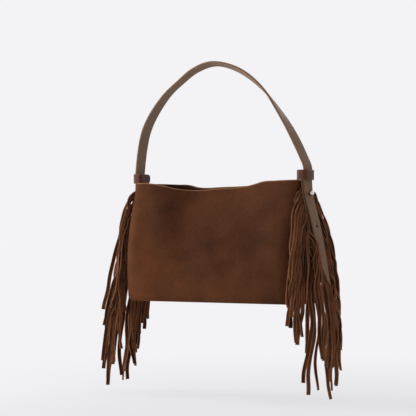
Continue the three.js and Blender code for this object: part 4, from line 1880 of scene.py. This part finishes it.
@dataclass
class Fringe:
    """The two fringe panels at one end, sewn under the edges of the tab."""

    end: End
    line: EndLine
    finishes: Finishes
    tree: Tree
    hangs: dict[Face, PanelHang]
    falling: StripFall = StripFall()
    look: StripLook = StripLook()
    top: float = 0.198
    heading: float = 0.136
    length: float = 0.229
    thick: float = 0.0014
    tuck: float = 0.0055
    heading_clear: float = 0.0007
    heading_lift: float = 1.03
    heading_past: float = 0.0005
    heading_rows: int = 40
    heading_columns: int = 4
    strips: int = 20
    strip_width: float = 0.0068
    curl: float = 0.0015
    points: int = 34
    per_span: int = 2
    sharp_degrees: float = 50.0
    room: float = 0.0056
    rounds: int = 36
    push_share: float = 0.5
    upright_share: float = 0.3
    body_x: float = 0.1728
    body_clear: float = 0.0010
    tab_clear: float = 0.0010
    tab_foot: float = 0.054
    aside_clear: float = 0.0015
    tail_clear: float = 0.0045
    tail_over: float = 0.0042
    tail_end: float = -0.030

    @property
    def tab_half(self) -> float:
        """Half the tab's width."""
        return self.line.tab_width / 2

    def build(self) -> None:
        """Makes both panels, settled against each other."""
        lines = []
        for face, hang in self.hangs.items():
            rng = np.random.default_rng(hang.seed)
            lines += [self.strip_line(k, face, hang, rng) for k in range(self.strips)]
        panels = np.split(self.settle(np.array(lines)), len(self.hangs))
        for panel, (face, hang) in zip(panels, self.hangs.items()):
            self.panel(face, panel, hang)

    def heading_x(self, z: Points) -> Points:
        """The middle of the heading's thickness, under the tab."""
        under_tab = self.line.tab(z) - self.line.tab_thick / 2 * self.heading_lift
        return under_tab - self.heading_clear - self.thick / 2

    def strip_line(self, k: int, face: Face, hang: PanelHang, rng: Draws) -> Points:
        """One strip's line as it would hang alone.

        Args:
            k: its number, from the top of the tab.
            face: which edge of the tab it is on.
            hang: how its panel's strips hang.
            rng: the panel's random numbers.

        Returns:
            Its points, for the right end.
        """
        rule = self.falling
        share = (k + 0.5) / self.strips
        z0 = self.top - self.heading * share
        down = np.linspace(0, rule.longer * self.length, rule.samples)
        loose = ease(down / rule.loose_by)
        curl = ease((down - rule.curl_from * self.length) / (rule.curl_over * self.length))
        fan, drift = self.swing(k, share, hang)
        fade = (1 - share) ** rule.root_power
        kick = hang.kick * fade
        edge = rule.edge_clear * (1 - np.exp(-down / rule.edge_fall))
        y = self.tab_half - rule.root_in + edge + fan * (1 - np.exp(-down / hang.fan_fall))
        y = y + rng.normal(0, rule.wander) * curl
        x = self.heading_x(z0) + drift * hang.leaned(down) + kick * (1 - np.exp(-down / rule.kick_fall))
        hung_back = drift * hang.back * share * ease((down - rule.back_from) / rule.back_over)
        x = x + rng.normal(0, rule.wander) * curl - hung_back
        if k in hang.over:
            tail = self.line.strap(np.maximum(z0 - down, self.tail_end)) + rule.tail_clear
            x = blend(self.heading_x(z0), tail, ease(down / rule.tail_fall))
            crossed = ease((down - rule.cross_from) / rule.cross_over)
            y = blend(self.tab_half + edge, hang.over[k], crossed)
        y = y + rule.waved(rng, down) * loose
        x = x + rule.waved(rng, down) * loose
        arch = hang.arch * fade + SMALLEST_ARCH
        drop = down - arch * (1 - np.exp(-down / arch))
        path = np.stack([x, face.value * y, z0 - drop], axis=1)
        return evenly(path, self.points, self.length * (1 + rng.uniform(*rule.uneven)))

    def swing(self, k: int, share: float, hang: PanelHang) -> tuple[float, float]:
        """How far one strip swings and leans.

        Args:
            k: its number, from the top of the tab.
            share: its share of the way down the heading.
            hang: how its panel's strips hang.

        Returns:
            Its swing along the bag's depth and its lean away from the bag's end.
        """
        rule = self.falling
        places = (0, 0.5, 1)
        aside = 2 * ((rule.fan_stride * k + rule.fan_start * hang.seed) % 1) - 1
        fan = through(tuple(zip(places, hang.fan)), share) + aside * blend(*rule.fan_jitter, share)
        uneven = (rule.lean_stride * k + rule.lean_start * hang.seed) % 1
        held = hang.spread * (1 - rule.lean_even * share) * uneven
        free = blend(rule.behind_lean, 1.0, ease((fan + rule.behind_from) / rule.behind_over))
        return fan, through(tuple(zip(places, hang.drift)), share) * (1 - held) * free

    def settle(self, lines: Points) -> Points:
        """Moves strips apart where they would lie in each other, in the bag or in the strap.

        Args:
            lines: strips, points and coordinates.

        Returns:
            The settled lines, of the same lengths.
        """
        strips, count = lines.shape[:2]
        lines = lines.astype(np.float32)
        owner = np.repeat(np.arange(strips), count)
        step = np.linalg.norm(np.diff(lines, axis=1), axis=2).mean(axis=1)
        root = lines[:, :2].copy()
        other = owner[:, None] != owner[None, :]
        for _ in range(self.rounds):
            flat = lines.reshape(-1, 3)
            apart = flat[:, None, :] - flat[None, :, :]
            gap = np.sqrt((apart**2).sum(axis=2)) + SMALLEST_GAP
            push = np.where(other & (gap < self.room), (self.room - gap) / gap, 0)
            near = np.maximum((push > 0).sum(axis=1), 1)
            move = (push[:, :, None] * apart).sum(axis=1) / near[:, None] * self.push_share
            move[:, 2] *= self.upright_share
            move = move.reshape(lines.shape)
            move[:, 1:-1] = (move[:, :-2] + 2 * move[:, 1:-1] + move[:, 2:]) / 4
            lines = self.keep_clear(lines + move)
            lines[:, :2] = root
            for k in range(1, count):
                way = lines[:, k] - lines[:, k - 1]
                lines[:, k] = lines[:, k - 1] + unit(way) * step[:, None]
        return lines.astype(float)

    def keep_clear(self, lines: Points) -> Points:
        """Keeps lines outside the bag's end and off the tab and the strap's tail.

        Args:
            lines: strips, points and coordinates.

        Returns:
            The lines, moved along X where they have to be.
        """
        x, y, z = lines[..., 0], lines[..., 1], lines[..., 2]
        x = np.maximum(x, self.body_x + self.body_clear)
        behind = np.abs(y) < self.tab_half + self.aside_clear
        by_tab = z > self.tab_foot
        tab_side = self.line.tab(z) - self.line.tab_thick / 2 - self.heading_clear - self.tab_clear
        tail = self.line.strap(z)
        under_tail = np.minimum(x, tail - self.tail_clear)
        beside_tail = np.where(x > tail, np.maximum(x, tail + self.tail_clear), under_tail)
        beside_tab = np.where(x > tail, np.maximum(x, tail + self.tail_over), np.minimum(x, tab_side))
        x = np.where(behind & by_tab, beside_tab, x)
        x = np.where(behind & ~by_tab & (z > self.tail_end), beside_tail, x)
        return np.stack([x, y, z], axis=2)

    def panel(self, face: Face, lines: Points, hang: PanelHang) -> None:
        """Makes one panel: its cut strips and its heading.

        Args:
            face: which edge of the tab it is on.
            lines: its strips' lines, for the right end.
            hang: how its strips hang and turn.
        """
        rng = np.random.default_rng(hang.seed + self.look.seed_step)
        lines = [smooth_path(line, self.per_span) for line in lines]
        along = np.linspace(0, 1, len(lines[0]))
        normals, scale, shade = [], [], []
        for line in lines:
            normals.append(self.facing_ways(line, self.look.turn_along(rng, face.value * hang.turn, along)))
            scale.append(self.look.width_along(rng, along))
            shade.append(np.full(len(along), rng.normal(0, self.look.shade_spread)))
        name = f"fringe_{face.word}_{self.end.word}"
        values = {
            "strip_normal": ("FLOAT_VECTOR", mirrored(np.vstack(normals), self.end)),
            "strip_scale": ("FLOAT", np.concatenate(scale)),
            "brushed": ("FLOAT", np.concatenate(shade)),
        }
        made = line_mesh(f"{name}_strips", [mirrored(line, self.end) for line in lines], values)
        run_tree(made, self.tree, {
            "Strip width": self.strip_width,
            "Strip thickness": self.thick,
            "Curl": self.curl,
            "Finish": self.finishes.fringe,
        })
        self.join_heading(made, face)
        placed(made, Slot.FRINGE, name)

    @staticmethod
    def facing_ways(line: Points, turn: Points) -> Points:
        """The way a strip faces along its line.

        Args:
            line: the strip's points.
            turn: how far it is twisted at each point, in radians.

        Returns:
            A direction across the line at each point.
        """
        tangent = unit(np.gradient(line, axis=0))
        facing = np.array([1.0, 0.0, 0.0])
        made = []
        for way, angle in zip(tangent, turn):
            facing = facing - way * np.dot(facing, way)
            facing = facing / np.linalg.norm(facing)
            made.append(math.cos(angle) * facing + math.sin(angle) * np.cross(way, facing))
        return np.array(made)

    def join_heading(self, strips: Piece, face: Face) -> None:
        """Adds the uncut heading under the tab to a panel's strips.

        Args:
            strips: the panel's object.
            face: which edge of the tab it is on.
        """
        z = np.linspace(self.top, self.top - self.heading, self.heading_rows)
        across = np.linspace(self.tuck, self.tab_half + self.heading_past, self.heading_columns)[None, :]
        x = self.heading_x(z)[:, None] + 0 * across
        grid = np.stack([x, face.value * across + 0 * x, z[:, None] + 0 * x], axis=2)
        outer, inner = grid.copy(), grid.copy()
        outer[:, :, 0] += self.thick / 2
        inner[:, :, 0] -= self.thick / 2
        parts = MeshParts()
        parts.add_sheet(mirrored(outer, self.end), mirrored(inner, self.end))
        heading = parts.object("heading", [self.finishes.fringe])
        strips.data.polygons.foreach_set("use_smooth", [True] * len(strips.data.polygons))
        strips.data.set_sharp_from_angle(angle=math.radians(self.sharp_degrees))
        both = [strips, heading]
        with bpy.context.temp_override(
            active_object=strips, object=strips, selected_objects=both, selected_editable_objects=both
        ):
            bpy.ops.object.join()


HANGS = {
    End.RIGHT: {
        Face.FRONT: PanelHang(
            seed=11, fan=(0.058, 0.038, 0.030), drift=(0.010, 0.032, 0.038), kick=0.002,
            fan_fall=0.085, drift_fall=0.085, spread=0.7, back=0.4, turn=0.8,
            over={10: 0.0360, 11: 0.0420, 12: 0.0280, 13: 0.0215, 14: 0.0140, 15: 0.0060, 17: -0.0020},
        ),
        Face.BACK: PanelHang(
            seed=23, fan=(0.050, 0.038, 0.012), drift=(0.038, 0.034, 0.026), kick=0.006,
            fan_fall=0.085, drift_fall=0.120, spread=0.5, back=0.4, turn=0.6,
        ),
    },
    End.LEFT: {
        Face.FRONT: PanelHang(
            seed=37, fan=(0.021, 0.025, 0.012), drift=(0.045, 0.048, 0.044), kick=0.018,
            fan_fall=0.035, drift_fall=0.200, spread=1.15, back=0.0, turn=-0.96, arch=0.006, late=0.030,
        ),
        Face.BACK: PanelHang(
            seed=41, fan=(0.042, 0.030, 0.006), drift=(0.038, 0.051, 0.051), kick=0.006,
            fan_fall=0.070, drift_fall=0.120, spread=0.45, back=0.0, turn=0.8,
        ),
    },
}


# The snap


@dataclass
class MagneticSnap:
    """The two round halves of the snap inside the mouth."""

    shape: BodyShape
    finishes: Finishes
    below_rim: float = 0.016
    inset: float = 0.0038
    lean_step: float = 0.02
    sides: int = 40
    socket: Knots = (
        (0.0081, 0.0), (0.0085, 0.0004), (0.0085, 0.0020), (0.0081, 0.0024),
        (0.0032, 0.0024), (0.0029, 0.0021), (0.0029, 0.0011),
    )
    nose: Knots = (
        (0.0081, 0.0), (0.0085, 0.0004), (0.0085, 0.0011), (0.0081, 0.0014),
        (0.0029, 0.0014), (0.0026, 0.0017), (0.0026, 0.0024), (0.0023, 0.0027),
    )

    def build(self) -> None:
        """Makes both halves."""
        self.half(Face.FRONT, "snap_socket", self.socket)
        self.half(Face.BACK, "snap_nose", self.nose)

    def half(self, face: Face, name: str, profile: Knots) -> None:
        """Makes one half, square to the wall it is fixed to.

        Args:
            face: the wall's face.
            name: the node that it stands for.
            profile: pairs of radius and height.
        """
        x = np.array([0.0])
        rim = float(self.shape.rim_z(face, x)[0])
        share = (rim - self.below_rim - self.shape.fold) / (rim - self.shape.fold)
        half, z = self.shape.wall(face, x, np.array([share]))
        upper, upper_z = self.shape.wall(face, x, np.array([share + self.lean_step]))
        lean = float((half[0] - upper[0]) / (upper_z[0] - z[0]))
        inward = unit(np.array([0.0, -face.value, -lean]))
        foot = np.array([0.0, face.value * float(half[0]), float(z[0])]) + inward * self.inset
        rings = turned(profile, foot, inward, self.sides)
        placed(swept_solid(f"{name}_disc", rings, self.finishes.nickel), Slot.NICKEL, name)


# The studio


@dataclass(frozen=True)
class Lamp:
    """A square area lamp that looks at the bag: its place, its side and its power in watts."""

    name: str
    place: Triple
    size: float
    power: float
    aim: Triple = (0.0, 0.0, 0.1)

    def build(self) -> None:
        """Makes the lamp."""
        data = bpy.data.lights.new(self.name, "AREA")
        data.size = self.size
        data.energy = self.power
        made = in_scene(self.name, data)
        made.location = self.place
        look_from(made, Vector(self.aim))


def look_from(made: Piece, aim: Vector) -> None:
    """Turns a camera or a lamp to look from where it stands at a point."""
    made.rotation_mode = "QUATERNION"
    made.rotation_quaternion = (aim - made.location).to_track_quat("-Z", "Y")


@dataclass
class Studio:
    """Camera, soft light and a pale floor."""

    yaw: float = 35.0
    distance: float = 3.0
    camera_height: float = 0.112
    lens: float = 148.3
    sensor: float = 36.0
    aim_right: float = -0.02275
    aim_height: float = 0.1645
    world_light: float = 0.46
    floor_z: float = -0.168
    floor_half: float = 12.0
    floor_glow: float = 0.6
    pale: Colour = (243, 242, 245)
    mottled: Colour = (240, 239, 242)
    lamps: tuple[Lamp, ...] = (
        Lamp("key", place=(-2.6, -0.7, 0.7), size=1.4, power=64.0),
        Lamp("bounce", place=(-0.75, -0.8, -0.05), size=0.6, power=4.0),
        Lamp("back", place=(0.1, 2.6, 0.9), size=1.8, power=20.0),
    )

    def build(self) -> None:
        """Makes the camera, the world, the floor and the lamps."""
        self.camera()
        self.world()
        self.floor()
        for lamp in self.lamps:
            lamp.build()

    def camera(self) -> None:
        """The camera at the photograph's viewing angle."""
        data = bpy.data.cameras.new("camera")
        data.lens = self.lens
        data.sensor_width = self.sensor
        made = in_scene("camera", data)
        angle = math.radians(self.yaw)
        right = Vector((math.cos(angle), math.sin(angle), 0))
        away = Vector((math.sin(angle), -math.cos(angle), 0))
        made.location = away * self.distance + Vector((0, 0, self.camera_height))
        look_from(made, right * self.aim_right + Vector((0, 0, self.aim_height)))
        bpy.context.scene.camera = made

    def world(self) -> None:
        """Even light from all round, which the camera sees as a pale backdrop."""
        world = bpy.data.worlds.new("studio")
        bpy.context.scene.world = world
        world.use_nodes = True
        world.node_tree.nodes.clear()
        sketch = Sketch(world.node_tree)
        seen = self.seen_by_eye(sketch)
        white = (1.0, 1.0, 1.0, 1.0)
        light = sketch.node("ShaderNodeBackground", {"Color": white, "Strength": self.world_light})
        pale = sketch.node("ShaderNodeBackground", {"Color": linear(self.pale), "Strength": 1.0})
        mixed = sketch.node("ShaderNodeMixShader", {0: seen, 1: light.outputs[0], 2: pale.outputs[0]})
        sketch.node("ShaderNodeOutputWorld", {"Surface": mixed.outputs[0]})

    @staticmethod
    def seen_by_eye(sketch: Sketch) -> Socket:
        """A mask of rays that show a surface to the camera, directly or in a reflection."""
        path = sketch.node("ShaderNodeLightPath")
        seen = sketch.math("MAXIMUM", path.outputs["Is Camera Ray"], path.outputs["Is Glossy Ray"])
        return sketch.math("MAXIMUM", seen, path.outputs["Is Transmission Ray"])

    def floor(self) -> None:
        """A wide pale floor that keeps the shadow and fades into the backdrop."""
        mesh = bpy.data.meshes.new("floor")
        w, z = self.floor_half, self.floor_z
        mesh.from_pydata([(-w, -w, z), (w, -w, z), (w, w, z), (-w, w, z)], [], [(0, 1, 2, 3)])
        made = in_scene("floor", mesh)
        mesh.materials.append(self.floor_material())

    def floor_material(self) -> Finish:
        """Pale paint that glows into the backdrop, more so further away.

        Returns:
            The material.
        """
        material, sketch, shader, coords = new_material("pale_floor")
        mottle = sketch.noise(coords, scale=3.0, detail=2.0)
        colour = sketch.mix(mottle, linear(self.mottled), linear(self.pale))
        sketch.fill(shader, {"Base Color": colour, "Roughness": 0.9, "Specular IOR Level": 0.1})
        glow = sketch.node("ShaderNodeEmission", {"Color": linear(self.pale)})
        length = sketch.node("ShaderNodeVectorMath", {0: coords}, operation="LENGTH").outputs["Value"]
        values = {"Value": length, "From Min": 0.35, "From Max": 1.3}
        away = sketch.node("ShaderNodeMapRange", values, interpolation_type="SMOOTHSTEP")
        further = sketch.math("MULTIPLY", away.outputs[0], 1 - self.floor_glow)
        lifted = sketch.math("ADD", further, self.floor_glow)
        share = sketch.math("MULTIPLY", lifted, self.seen_by_eye(sketch))
        mixed = sketch.node("ShaderNodeMixShader", {0: share, 1: shader.outputs[0], 2: glow.outputs[0]})
        out = next(n for n in sketch.tree.nodes if n.type == "OUTPUT_MATERIAL")
        sketch.fill(out, {"Surface": mixed.outputs[0]})
        return material


def main() -> None:
    """Builds the bag piece by piece and reports each one."""
    logging.basicConfig(level=logging.INFO, format="%(name)s: %(message)s", stream=sys.stdout)
    bpy.context.scene.view_settings.view_transform = "Standard"
    Studio().build()
    finishes = Finishes()
    shape = BodyShape()
    line = EndLine()
    stitches = stitch_tree()
    strips = fringe_tree()
    BagBody(shape, finishes).build()
    MagneticSnap(shape, finishes).build()
    Strap(line, finishes).build()
    for end in End:
        Tab(end, line, finishes, stitches).build()
        Keeper(end, line, finishes, stitches).build()
        BallStud(end, line, finishes).build()
        Fringe(end, line, finishes, strips, HANGS[end]).build()
    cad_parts["base_board"].data.materials[0] = finishes.board


if __name__ == "__main__":
    main()
